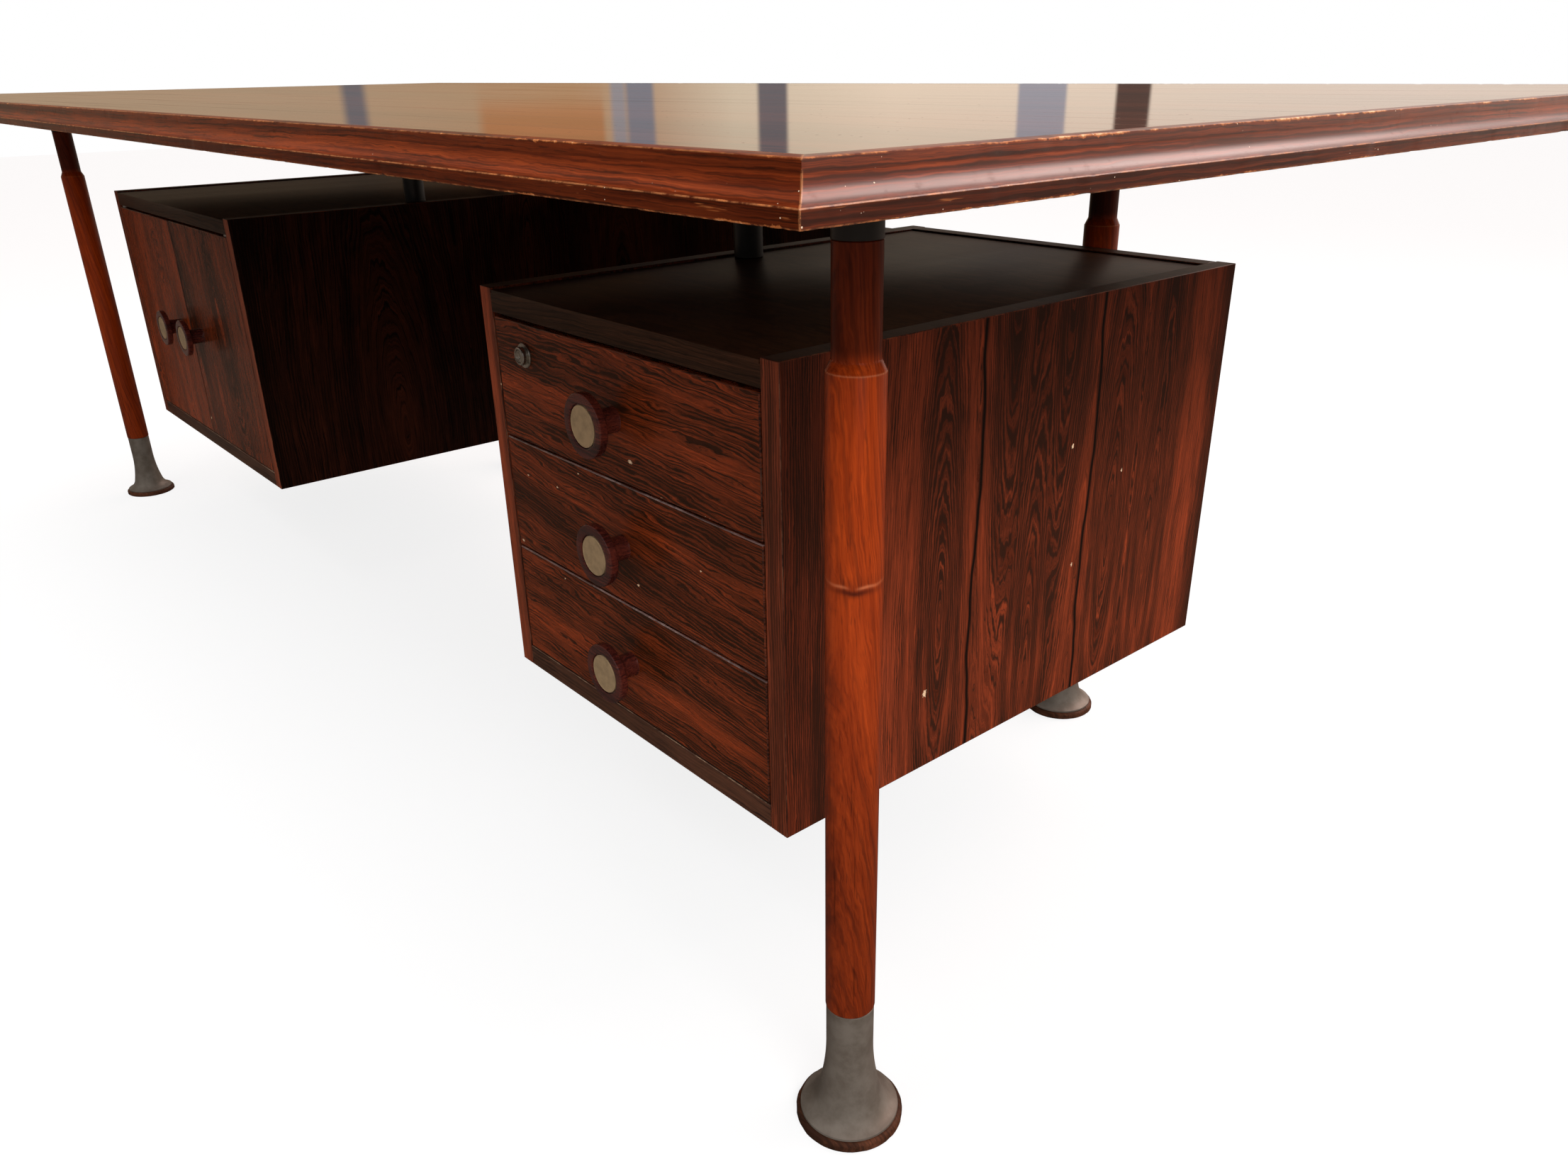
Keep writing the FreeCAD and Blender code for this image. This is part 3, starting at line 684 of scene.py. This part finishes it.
def moulding(name, length, depth):
    """Moulding of the front edge of a top of this length and depth, drawn from its underside."""
    low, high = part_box("edge_moulding_front")
    outer = -depth / 2
    inner = outer + moulding_width
    cove_top = high.z - upper_band_height
    ledge = cove_top - cove_radius
    soft = moulding_soft
    middle = (0, (inner + outer + soft) / 2, low.z)
    begin(bpy.ops.mesh.primitive_grid_add, x_subdivisions=round(length / moulding_pitch),
          y_subdivisions=1, size=1, location=middle)
    bpy.ops.transform.resize(value=(length, moulding_width - soft, 1), center_override=middle)
    band_face = outer + cove_radius
    section = [(outer, low.z + soft), (outer, ledge - soft), (outer + soft * 0.7, ledge)]
    section += arc((outer, cove_top), cove_radius, -84, 0, 12)
    section += [(band_face, high.z - arris_round * 1.5),
                (band_face + arris_round * 0.4, high.z - arris_round * 0.4),
                (band_face + arris_round * 1.5, high.z), (inner, high.z), (inner, low.z)]
    here = (outer + soft, low.z)
    pick("edges", lambda edge: all(abs(vert.co.y - here[0]) < touching for vert in edge.verts))
    for y, z in section:
        bpy.ops.mesh.extrude_edges_move(TRANSFORM_OT_translate={"value": (0, y - here[0], z - here[1])})
        here = (y, z)
    bpy.ops.mesh.select_all(action="SELECT")
    bpy.ops.mesh.remove_doubles(threshold=weld)
    for side in (-1, 1):
        bpy.ops.mesh.select_all(action="SELECT")
        bpy.ops.mesh.bisect(plane_co=(side * length / 2, outer, 0), plane_no=(side, 1, 0),
                            use_fill=True, clear_outer=True)
    return close_up(name)


def make_mouldings():
    far_off = 3 * desk_length
    long_finish = moulding_finish("moulding_wood_long", "x", half_depth, 0.2, shine=0.06)
    short_finish = moulding_finish("moulding_wood_short", "y", half_length, 1.3, shine=0.6)
    for number, side in enumerate(("front", "right", "rear", "left")):
        at_end = number % 2 == 1
        length, depth = (desk_depth, desk_length) if at_end else (desk_length, desk_depth)
        piece = moulding("moulding_" + side, length, depth)
        hurt_end = {"front": length / 2, "right": -length / 2}.get(side, far_off)
        rough_up(piece, -depth / 2, hurt_end)
        piece.data.transform(Matrix.Rotation(number * math.pi / 2, 4, "Z"))
        dress(piece, "moulding_wood", "root", ["edge_moulding_" + side],
              short_finish if at_end else long_finish)


# Legs, feet and posts
def foot_curve(rim_radius, rim_top):
    """The two arcs of a foot, from its rim up to its neck."""
    sweep = foot_sweep_angle
    joint_radius = foot_neck_radius + foot_sweep_radius * (1 - math.cos(sweep))
    joint_height = foot_neck_start - foot_sweep_radius * math.sin(sweep)
    turn_angle = 2 * math.atan2(rim_radius - joint_radius, joint_height - rim_top) - sweep
    small = (rim_radius - joint_radius) / (math.cos(sweep) - math.cos(turn_angle))
    lower = arc((joint_radius + small * math.cos(sweep), joint_height + small * math.sin(sweep)), small,
                180 + math.degrees(turn_angle), 180 + math.degrees(sweep), 14)
    upper = arc((foot_neck_radius + foot_sweep_radius, foot_neck_start), foot_sweep_radius,
                180 + math.degrees(sweep), 180, 12)
    return list(lower) + list(upper)[1:]


def make_legs():
    pad_low, pad_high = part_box("foot_pads")
    foot_low, foot_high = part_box("foot_front_right")
    leg_low, leg_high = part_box("leg_front_right")
    collar_low, collar_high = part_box("leg_collars")
    foot_radius = (foot_high.x - foot_low.x) / 2
    leg_radius = (leg_high.x - leg_low.x) / 2
    pad_radius = pad_high.x - (foot_low.x + foot_high.x) / 2
    collar_radius = collar_high.x - front_right.x
    lip = turned_lip

    rim_top = foot_low.z + foot_rim_height
    curve = foot_curve(foot_radius - lip * 0.3, rim_top)
    foot = turn("foot_pattern", [
        (foot_radius - lip, foot_low.z), (foot_radius, foot_low.z + lip), (foot_radius, rim_top - lip),
        *curve, (foot_neck_radius, foot_high.z - lip), (foot_neck_radius - lip, foot_high.z)])
    body_low = foot_high.z
    shoulder_high = collar_low.z - leg_neck_length
    shoulder_low = shoulder_high - shoulder_height
    leg = turn("leg_pattern", [
        (leg_radius - 1.6 * MM, body_low), (leg_radius - 0.7 * MM, body_low + 0.5 * MM),
        (leg_radius, body_low + 1.6 * MM), (leg_radius, (body_low + shoulder_low) / 2),
        (leg_radius, shoulder_low - 0.4 * MM), (leg_radius - 0.3 * MM, shoulder_low + 0.1 * MM),
        (leg_neck_radius + 0.7 * MM, shoulder_high - 1.5 * MM),
        (leg_neck_radius + 0.2 * MM, shoulder_high - 0.5 * MM), (leg_neck_radius, shoulder_high + 0.6 * MM),
        (leg_neck_radius, collar_low.z - 0.6 * MM), (leg_neck_radius - 0.5 * MM, collar_low.z)])
    pad = turn("pad_pattern", [
        (pad_radius - 1.2 * MM, pad_low.z), (pad_radius, pad_low.z + 1.0 * MM),
        (pad_radius, pad_high.z - 2.6 * MM), (pad_radius - 0.6 * MM, pad_high.z - 1.3 * MM),
        (pad_radius - 2.0 * MM, pad_high.z - 0.3 * MM),
        (pad_radius - 2.6 * MM, pad_high.z)])
    for vertex in pad.data.vertices:
        frayed = noise.noise(Vector((vertex.co.x * 160, vertex.co.y * 160, vertex.co.z * 90)))
        vertex.co.xy *= 1 - max(0.0, frayed) * 0.02
    line = collar_high.z - collar_line
    collar = turn("collar_pattern", [
        (collar_radius - lip, collar_low.z), (collar_radius, collar_low.z + lip * 0.6),
        (collar_radius, line - 0.4 * MM), (collar_radius - lip, line),
        (collar_radius, line + 0.4 * MM), (collar_radius, collar_high.z)])

    wood = turned_finish("turned_leg_wood", 0.0)
    metal = gunmetal_finish()
    pads, collars = [], []
    for name, place in leg_places.items():
        move = Matrix.Translation((place.x, place.y, 0))
        dress(copy_of(foot, "flared_foot_" + name, move), "gunmetal", "root", ["foot_" + name], metal)
        dress(copy_of(leg, "turned_leg_" + name, move), "turned_wood", "root", ["leg_" + name], wood)
        pads.append(copy_of(pad, "pad_" + name, move))
        collars.append(copy_of(collar, "collar_" + name, move))
    for pattern in (foot, leg, pad, collar):
        put_away(pattern)
    pad_wood = veneer_finish("pad_wood", "xy", 2.2, roughness=0.5, tone=0.0, band_scale=30, line=0.5,
                             dark=(0.012, 0.0055, 0.0035), mid=(0.05, 0.018, 0.009),
                             light=(0.11, 0.036, 0.017))
    dress(joined(pads, "round_pads"), "pad_wood", "root", ["foot_pads"], pad_wood)
    dress(joined(collars, "black_collars"), "black_steel", "root", ["leg_collars"], black_steel)


def make_posts():
    for side in ("right", "left"):
        low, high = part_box("post_" + side)
        radius = (high.x - low.x) / 2
        post = turn("post_pattern", [
            (radius - post_lip, low.z), (radius, low.z + post_lip),
            (radius, high.z - post_lip), (radius - post_lip, high.z)])
        move = Matrix.Translation(((low.x + high.x) / 2, (low.y + high.y) / 2, 0))
        dress(copy_of(post, "black_post_" + side, move), "black_steel", "root", ["post_" + side], black_steel)
        put_away(post)


# The two units
def lid_cuts(unit):
    """Fine grooves along both sides and the back of a lid; the drawer unit's has the cam's slot too."""
    low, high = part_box(unit + "_lid")
    left, front, under = (value - overrun for value in low)
    right, back, over = (value + overrun for value in high)
    floor = high.z - lid_groove_depth
    cuts = [((left, front, floor), (low.x + lid_groove_width, back, over)),
            ((high.x - lid_groove_width, front, floor), (right, back, over)),
            ((left, high.y - lid_groove_width, floor), (right, back, over))]
    if unit == "drawer_unit":
        cuts.append(((left, cam_slot_front, under), (right, cam_slot_back, cam_slot_top)))
    return cuts


# Which of a board's finishes a face takes, by where it looks; None leaves it as it is
def is_end(face):
    return 2 if abs(face.normal.z) > 0.99 else None


def is_end_or_edge(face):
    return 3 if abs(face.normal.y) > 0.99 else is_end(face)


def is_face(face):
    return 2 if face.normal.y < -0.99 else None


def is_upper_arris(face):
    return 2 if face.material_index == 1 and 0.3 < face.normal.z < 0.97 else None


# Veneer colours painted dark as kneehole shade, for the cupboard's kneehole side, the backs and the modesty
# panel
painted_shade_wood = {"dark": (0.003, 0.0015, 0.001), "mid": (0.014, 0.004, 0.002),
               "light": (0.05, 0.011, 0.004), "shine": 0.06}


def make_units():
    # The outer side carries painted shade, darker towards the top
    outer_side = veneer_finish(
        "outer_side_veneer", "z", 0.0, rings=420, band_scale=22, eyes=side_eyes, joints=leaf_joints,
        marks=side_marks, tone=-0.06, waves=6, wander=30, painted_shade_heights=(0.62, 0.25), shine=0.06,
        dark=(0.021, 0.0075, 0.004), mid=(0.09, 0.0165, 0.0062), light=(0.24, 0.037, 0.011))
    inner_side = veneer_finish("upright_veneer", "z", 3.1, eyes=((-150, 300, 0.14), (60, 420, 0.1)))
    shaded = veneer_finish("shaded_veneer", "z", 5.2, eyes=((-60, 250, 0.16), (200, 500, 0.12)),
                           **painted_shade_wood)
    cross_veneer = veneer_finish("cross_veneer", "zx", 1.7,
                                 eyes=((-120, 300, 0.14), (250, 420, 0.1), (-640, 380, 0.12)),
                                 **painted_shade_wood)
    edge_veneer = veneer_finish(
        "edge_veneer", "zx", 2.6, rings=330, band_scale=30, wander=12, waves=4, tone=0.04, shine=0.06,
        line=0.75, dark=(0.032, 0.0125, 0.0065), mid=(0.17, 0.036, 0.015), light=(0.33, 0.064, 0.023))
    side_arris = arris_finish("upright_arris", "z", 0.0, worn=(0.16, 0.06, 0.03))
    cross_arris = arris_finish("cross_arris", "x", 0.5, worn=(0.12, 0.055, 0.03))
    rail_arris = arris_finish("rail_arris", "x", 0.5, worn=(0.34, 0.22, 0.14),
                              dark=(0.05, 0.025, 0.015), mid=(0.12, 0.06, 0.04), light=(0.24, 0.13, 0.08))
    satin = dark_satin_finish("dark_satin_wood", "x", 0.9)
    satin_arris = arris_finish("satin_arris", "x", 1.9, worn=(0.07, 0.035, 0.022), tone=-0.1, shine=0.1)
    lid_band = veneer_finish(
        "lid_band_wood", "x", 4.4, roughness=0.4, wander=90, band_scale=9, line=0.7, shine=0.08,
        dark=(0.013, 0.0065, 0.0035), mid=(0.032, 0.0135, 0.0065), light=(0.075, 0.029, 0.013))
    for unit in ("drawer_unit", "cupboard_unit"):
        veneers = {"kneehole_side": shaded if unit == "cupboard_unit" else inner_side,
                   "outer_side": outer_side if unit == "drawer_unit" else inner_side}
        for side, veneer in veneers.items():
            board("_".join((unit, side, "board")), unit + "_" + side, "side_veneer",
                  (veneer, side_arris, satin, edge_veneer), others=is_end_or_edge)
        board(unit + "_lid_board", unit + "_lid", "dark_satin_wood", (satin, satin_arris, lid_band),
              lid_cuts(unit), others=is_face)
        board(unit + "_bottom_board", unit + "_bottom", "dark_satin_wood",
              (rail_wood, cross_arris, rail_arris), others=is_upper_arris)
        board(unit + "_back_board", unit + "_back", "side_veneer",
              (cross_veneer, side_arris, satin), others=is_end)
    board("modesty_board", "modesty_panel", "side_veneer", (cross_veneer, side_arris, satin), others=is_end)
    board("cupboard_shelf_board", "cupboard_shelf", "inner_wood", (inner_wood, inner_wood))


# Drawers and doors: each front's eyes, the slant of its figure and its pale chips
front_figures = {
    "drawer_1": ((), 0.035, ((730, 475, 2.6), (837, 453, 1.2), (843, 453, 1.0), (775, 453, 1.2))),
    "drawer_2": ((), 0.1, ((540, 416, 1.3), (639, 442, 1.2), (597, 418, 1.4), (514, 338, 2.0),
                           (729, 357, 1.6), (827, 402, 1.3))),
    "drawer_3": ((), 0.06, ((594, 320, 1.1),)),
    "outer_door": (((-720, 330, 0.13), (-900, 500, 0.1)), 0.0, ()),
    "kneehole_door": (((-430, 420, 0.14), (-600, 250, 0.1)), 0.0, ()),
}


def make_knobs():
    """One turned knob and one inlay, copied to each front."""
    low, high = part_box("drawer_1_knob")
    radius = (high.x - low.x) / 2
    front_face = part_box("drawer_1_front")[0].y
    reach = front_face - low.y
    disc_back = reach - knob_disc_thickness
    edge = knob_edge_round
    inlay_low, inlay_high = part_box("drawer_1_knob_inlay")
    inlay_radius = (inlay_high.x - inlay_low.x) / 2
    stem = [(knob_stem_radius + knob_stem_flare * share ** 2.5, disc_back * (0.3 + 0.7 * share))
            for share in (0.0, 0.25, 0.5, 0.75, 1.0)]
    rim = [(radius - edge + dr, z) for dr, z in arc((0, disc_back + edge), edge, -90, 0, 5)]
    face = [(radius - edge + dr, z) for dr, z in arc((0, reach - edge), edge, 0, 90, 5)]
    floor = reach - inlay_recess_depth
    knob = turn("knob_pattern", [
        (knob_stem_radius + 0.3 * MM, 0), (knob_stem_radius, 0.5 * MM), *stem, *rim, *face,
        (inlay_recess_radius + 2.2 * MM, reach), (inlay_recess_radius + 0.7 * MM, reach - 0.15 * MM),
        (inlay_recess_radius, reach - 0.6 * MM), (inlay_recess_radius, floor)])
    upper = floor + inlay_high.y - inlay_low.y
    disc = turn("inlay_pattern", [
        (inlay_radius, floor), (inlay_radius, upper - inlay_lip), (inlay_radius - inlay_lip, upper),
        (inlay_radius - 1.0 * MM, upper), (inlay_radius - 1.3 * MM, upper - 0.2 * MM),
        (inlay_radius - 2.4 * MM, upper - 0.22 * MM)])
    return knob, disc


def make_lock():
    """The housing with its rosette, and the barrel with its key slot, turned along the way it faces."""
    low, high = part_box("lock_housing")
    middle = Vector(((low.x + high.x) / 2, 0, (low.z + high.z) / 2))
    front_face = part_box("drawer_1_front")[0].y
    barrel_low, barrel_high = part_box("lock_barrel")
    barrel_radius = (barrel_high.x - barrel_low.x) / 2
    reach = front_face - low.y
    inside = front_face - high.y
    rosette, tube, lip = lock_rosette_radius, lock_tube_radius, lock_lip
    rosette_top = lock_rosette_height
    turning = Matrix.Translation((middle.x, front_face, middle.z)) @ Matrix.Rotation(math.pi / 2, 4, "X")
    housing = turn("lock_pattern", [
        (tube, inside), (tube, 0), (rosette, 0), (rosette, rosette_top - 0.8 * MM),
        (rosette - lip, rosette_top - 0.1 * MM), (rosette - 1.3 * MM, rosette_top),
        (tube + 0.9 * MM, rosette_top - 0.25 * MM), (tube, rosette_top), (tube, reach - 1.0 * MM),
        (tube - lip, reach - 0.3 * MM), (tube - 1.2 * MM, reach), (barrel_radius + 0.5 * MM, reach),
        (barrel_radius + 0.25 * MM, reach - lip), (barrel_radius + 0.2 * MM, reach - 2.2 * MM)])
    dress(copy_of(housing, "lock_rosette", turning), "nickel", "drawer_1", ["lock_housing"], nickel)
    put_away(housing)
    face = front_face - barrel_low.y
    barrel = turn("barrel_pattern", [
        (barrel_radius, front_face - barrel_high.y), (barrel_radius, face - lip), (barrel_radius - lip, face),
        (barrel_radius - 1.5 * MM, face), (barrel_radius - 1.8 * MM, face - 0.35 * MM)])
    barrel.data.transform(turning)
    key_slot = Vector((key_slot_half_width, key_slot_depth, key_slot_half_height))
    mouth = Vector((middle.x, barrel_low.y, middle.z))
    carve(barrel, mouth - key_slot, mouth + key_slot)
    dress(barrel, "nickel", "lock", ["lock_barrel"], nickel)
    barrel.name = "lock_plug"


def make_drawer_box(number):
    """Two grooved sides and a back, one mesh each, joined as one box."""
    node = "drawer_%d_box" % number
    low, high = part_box(node)
    thickness = drawer_board_thickness
    groove_depth = runner_inner - low.x + runner_groove_room
    groove_middle = (low.z + high.z) / 2
    half_groove = runner_half_height + runner_groove_room
    pieces = []
    for outer_x, inwards in ((low.x, 1), (high.x, -1)):
        left, right = sorted((outer_x, outer_x + inwards * thickness))
        piece = cube((left, low.y, low.z), (right, high.y, high.z))
        close_up("side_%d" % len(pieces))
        groove = sorted((outer_x - inwards * overrun, outer_x + inwards * groove_depth))
        carve(piece, (groove[0], low.y - overrun, groove_middle - half_groove),
              (groove[1], high.y + overrun, groove_middle + half_groove))
        bevel_off(piece, material=0)
        pieces.append(piece)
    piece = cube((low.x + thickness, high.y - thickness, low.z), (high.x - thickness, high.y, high.z))
    close_up("back")
    bevel_off(piece, material=0)
    pieces.append(piece)
    dress(joined(pieces, "drawer_%d_boards" % number), "inner_wood", "drawer_%d" % number, [node],
          inner_wood_long)


def make_fronts():
    """Drawer fronts and doors with their knobs, and the drawers behind the fronts."""
    knob, disc = make_knobs()
    knob_wood = veneer_finish(
        "knob_wood", "x", 5.5, roughness=0.13, rings=300, wander=20, band_scale=45, tone=0.05, line=0.6,
        dark=(0.012, 0.003, 0.003), mid=(0.045, 0.008, 0.006), light=(0.11, 0.02, 0.011), shine=0.5)
    champagne = metal_finish("champagne_metal", (0.43, 0.3, 0.165), 0.45, metallic=0.4)
    front_wear = (0.1, 0.035, 0.02)
    drawer_arris = arris_finish("front_arris", "x", 0.1, worn=front_wear)
    door_arris = arris_finish("door_arris", "z", 0.1, worn=front_wear)
    # Painted highlight: a lighter purplish finish standing for the reflection along the rounded upper
    # arrises; its worn colour is part of that highlight
    painted_highlight_arris = arris_finish("upper_arris", "x", 0.1, worn=(0.3, 0.2, 0.18), shine=1.0,
                            dark=(0.07, 0.035, 0.03), mid=(0.17, 0.09, 0.08), light=(0.3, 0.17, 0.15))
    for order, (body, (eyes, slant, marks)) in enumerate(front_figures.items()):
        is_drawer = body.startswith("drawer")
        node = body + "_front" if is_drawer else body
        arris = drawer_arris if is_drawer else door_arris
        # Only drawers 2 and 3 take the painted highlight; drawer 1's upper arris is left plain, in the shade
        # under the lid
        upper = painted_highlight_arris if body in ("drawer_2", "drawer_3") else arris
        veneer = veneer_finish(
            body + "_veneer", "x" if is_drawer else "zx", 0.6 + 1.37 * order, roughness=0.25, rings=270,
            waves=16, wander=50, eyes=eyes, slant=slant, marks=marks, tone=0.0, line=0.9,
            dark=(0.021, 0.0078, 0.0032), mid=(0.125, 0.0235, 0.0068), light=(0.36, 0.053, 0.011))
        board(node + "_board", node, "front_veneer", (veneer, arris, upper), width=front_arris_round,
              others=is_upper_arris)
        low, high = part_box(body + "_knob")
        front_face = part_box(node)[0].y
        to_front = (Matrix.Translation(((low.x + high.x) / 2, front_face, (low.z + high.z) / 2))
                    @ Matrix.Rotation(math.pi / 2, 4, "X"))
        dress(copy_of(knob, body + "_turned_knob", to_front), "knob_wood", body, [body + "_knob"],
              knob_wood)
        dress(copy_of(disc, body + "_knob_disc", to_front), "champagne_metal", body,
              [body + "_knob_inlay"], champagne)
    put_away(knob)
    put_away(disc)
    for number in (1, 2, 3):
        make_drawer_box(number)
        board("drawer_%d_floor" % number, "drawer_%d_bottom" % number, "inner_wood",
              (inner_wood, inner_wood))


# What stays as the frame has it
def finish_kept_nodes():
    kept = {
        "desktop_panel": top_finish(),
        "mounting_flanges": black_steel,
        "drawer_runners": inner_wood_long,
        "modesty_dowels": inner_wood,
        "lock_cam": nickel,
    }
    for node in ("flange_screws", "frame_bolts", "saddle_washers", "door_pivots"):
        kept[node] = steel
    for node, material in kept.items():
        for slot in frame["nodes"][node].material_slots:
            slot.material = material


# Surroundings
def make_floor():
    floor_reach = 14.0
    begin(bpy.ops.mesh.primitive_plane_add, size=2 * floor_reach, location=(0, 0, 0))
    floor = close_up("floor")
    tree = finish("pale_floor")
    seen = tree.node("LightPath", out="Is Camera Ray")
    mirrored = tree.node("LightPath", out="Is Glossy Ray")
    grain = cloud(place_of(tree), scale=40, detail=3)
    pale = mix(grain, (0.86, 0.86, 0.86), (0.9, 0.9, 0.9))
    cast = mix(mirrored, (0.42, 0.4, 0.38), (0.1, 0.085, 0.07))
    matt = tree.node("BsdfDiffuse", (), {"Color": mix(seen, cast, pale)})
    glow = tree.node("Emission", (), {"Color": (1, 1, 1, 1), "Strength": 1.0})
    mixed = tree.node("MixShader", (), {0: seen * 0.82, 1: matt, 2: glow})
    tree.node("OutputMaterial", (), {0: mixed})
    floor.data.materials.append(tree.owner)


# The studio's dark columns, as (sine of the bearing, half width, colour), and its window
columns = ((-0.928, 0.003, (0.16, 0.15, 0.16)), (-0.837, 0.003, (0.31, 0.29, 0.3)),
           (-0.8275, 0.006, (0.22, 0.22, 0.25)), (-0.7645, 0.0075, (0.15, 0.14, 0.15)),
           (-0.613, 0.0145, (0.37, 0.36, 0.4)), (-0.558, 0.0105, (0.09, 0.06, 0.05)))
column_blur = 0.0015
window_glow = (6.5, 4.9, 4.5)


def make_world():
    """White behind the object, and a soft warm studio all round it, mirrored in the top."""
    world = bpy.data.worlds.new("studio")
    bpy.context.scene.world = world
    tree = Tree(world)
    x, y, z = split(tree.node("TexCoord", out="Generated"))
    back_wall = soft_step(y - x * 0.6, -0.35, 0.75)
    bearing = x / (x * x + y * y) ** 0.5
    wall = ramp((bearing + 1) / 0.6, (
        (0.1, (0.44, 0.31, 0.2)), (0.24, (0.46, 0.29, 0.16)), (0.3, (0.52, 0.36, 0.24)),
        (0.36, (0.7, 0.57, 0.42)), (0.5, (0.87, 0.7, 0.54)), (1.0, (0.84, 0.7, 0.59))))
    cupboard = soft_step(bearing, -0.893, -0.888) * soft_step(bearing, -0.842, -0.845)
    wall = mix(cupboard * soft_step(z, 0.022, 0.032), wall, (0.46, 0.21, 0.09))
    for middle, half, tint in columns:
        off = (bearing - middle).math("ABSOLUTE")
        wall = mix(soft_step(off, half + column_blur, half - column_blur), wall, tint)
    horizon = mix(back_wall, (0.16, 0.15, 0.14), wall)
    ceiling = mix(soft_step(x, -0.7, 0.3), (0.3, 0.27, 0.25), (0.58, 0.56, 0.56))
    overhead = mix(soft_step(z, 0.1, 0.6), horizon, ceiling)
    window = soft_step(x, -0.5, -0.1) * soft_step(x, 0.6, 0.3) * soft_step(y, 0.2, 0.5)
    window = window * soft_step(z, 0.36, 0.5) * soft_step(z, 0.9, 0.75)
    overhead = mix(window, overhead, window_glow)
    seen = tree.node("LightPath", out="Is Camera Ray")
    colour = mix(seen, overhead, (1.0, 1.0, 1.0))
    light = tree.node("Background", (), {"Color": colour, "Strength": 1.0})
    tree.node("OutputWorld", (), {0: light})


def lamp(name, place, aim, size, power):
    """A soft rectangular lamp that nothing mirrors."""
    data = bpy.data.lights.new(name, "AREA")
    data.shape = "RECTANGLE"
    data.size, data.size_y = size
    data.energy = power
    item = bpy.data.objects.new(name, data)
    item.location = place
    item.rotation_euler = (Vector(aim) - Vector(place)).to_track_quat("-Z", "Y").to_euler()
    item.visible_glossy = False
    bpy.context.scene.collection.objects.link(item)


def make_lights():
    lamp("right_softbox", place=(4.2, -1.6, 2.3), aim=(0.6, 0.0, 0.4), size=(2.4, 2.0), power=150)
    lamp("overhead_softbox", place=(-0.4, -1.0, 3.6), aim=(0.0, 0.0, 0.5), size=(3.4, 2.4), power=120)
    lamp("back_softbox", place=(1.7, 3.3, 2.9), aim=(1.0, 0.0, 0.7), size=(3.0, 3.0), power=60)


# The camera as it was solved from the photograph
camera_place = (1.55723, -0.80554, 0.78968)
camera_degrees = (65.763, 0.9047, 49.3255)
camera_lens = 26.778
camera_sensor = 36


def make_camera():
    data = bpy.data.cameras.new("view")
    data.lens = camera_lens
    data.sensor_width = camera_sensor
    data.sensor_fit = "HORIZONTAL"
    item = bpy.data.objects.new("view", data)
    item.location = camera_place
    item.rotation_euler = [math.radians(angle) for angle in camera_degrees]
    bpy.context.scene.collection.objects.link(item)
    bpy.context.scene.camera = item


# Places and sizes read from the frame
desk_low, desk_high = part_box("edge_moulding_front")[0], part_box("edge_moulding_right")[1]
half_length, half_depth = desk_high.x, desk_high.y
desk_length, desk_depth = 2 * half_length, 2 * half_depth
moulding_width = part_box("desktop_panel")[0].y - desk_low.y
leg_places = {}
for corner in ("front_right", "front_left", "rear_right", "rear_left"):
    corner_low, corner_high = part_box("leg_" + corner)
    leg_places[corner] = (corner_low + corner_high) / 2
front_right = leg_places["front_right"]
shoulder_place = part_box("leg_collars")[0].z - leg_neck_length - shoulder_height / 2
runner_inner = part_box("drawer_runners")[0].x + runner_width

# Finishes that several pieces share
black_steel = metal_finish("black_steel", (0.01, 0.0075, 0.006), 0.36, metallic=0.1)
steel = metal_finish("bright_steel", (0.5, 0.49, 0.47), 0.32)
nickel = metal_finish("nickel", (0.52, 0.49, 0.44), 0.28)
inner_wood = plain_wood_finish("inner_wood", "x", 0.3)
inner_wood_long = plain_wood_finish("inner_wood_long", "y", 0.8)
rail_wood = veneer_finish("rail_wood", "x", 7.7, roughness=0.34, wander=10, band_scale=30,
                          dark=(0.02, 0.009, 0.006), mid=(0.06, 0.025, 0.014), light=(0.12, 0.045, 0.024))

make_camera()
make_world()
make_lights()
make_floor()
make_mouldings()
make_legs()
make_posts()
make_units()
make_fronts()
make_lock()
finish_kept_nodes()
put_down()

bpy.context.scene.view_settings.view_transform = "Standard"
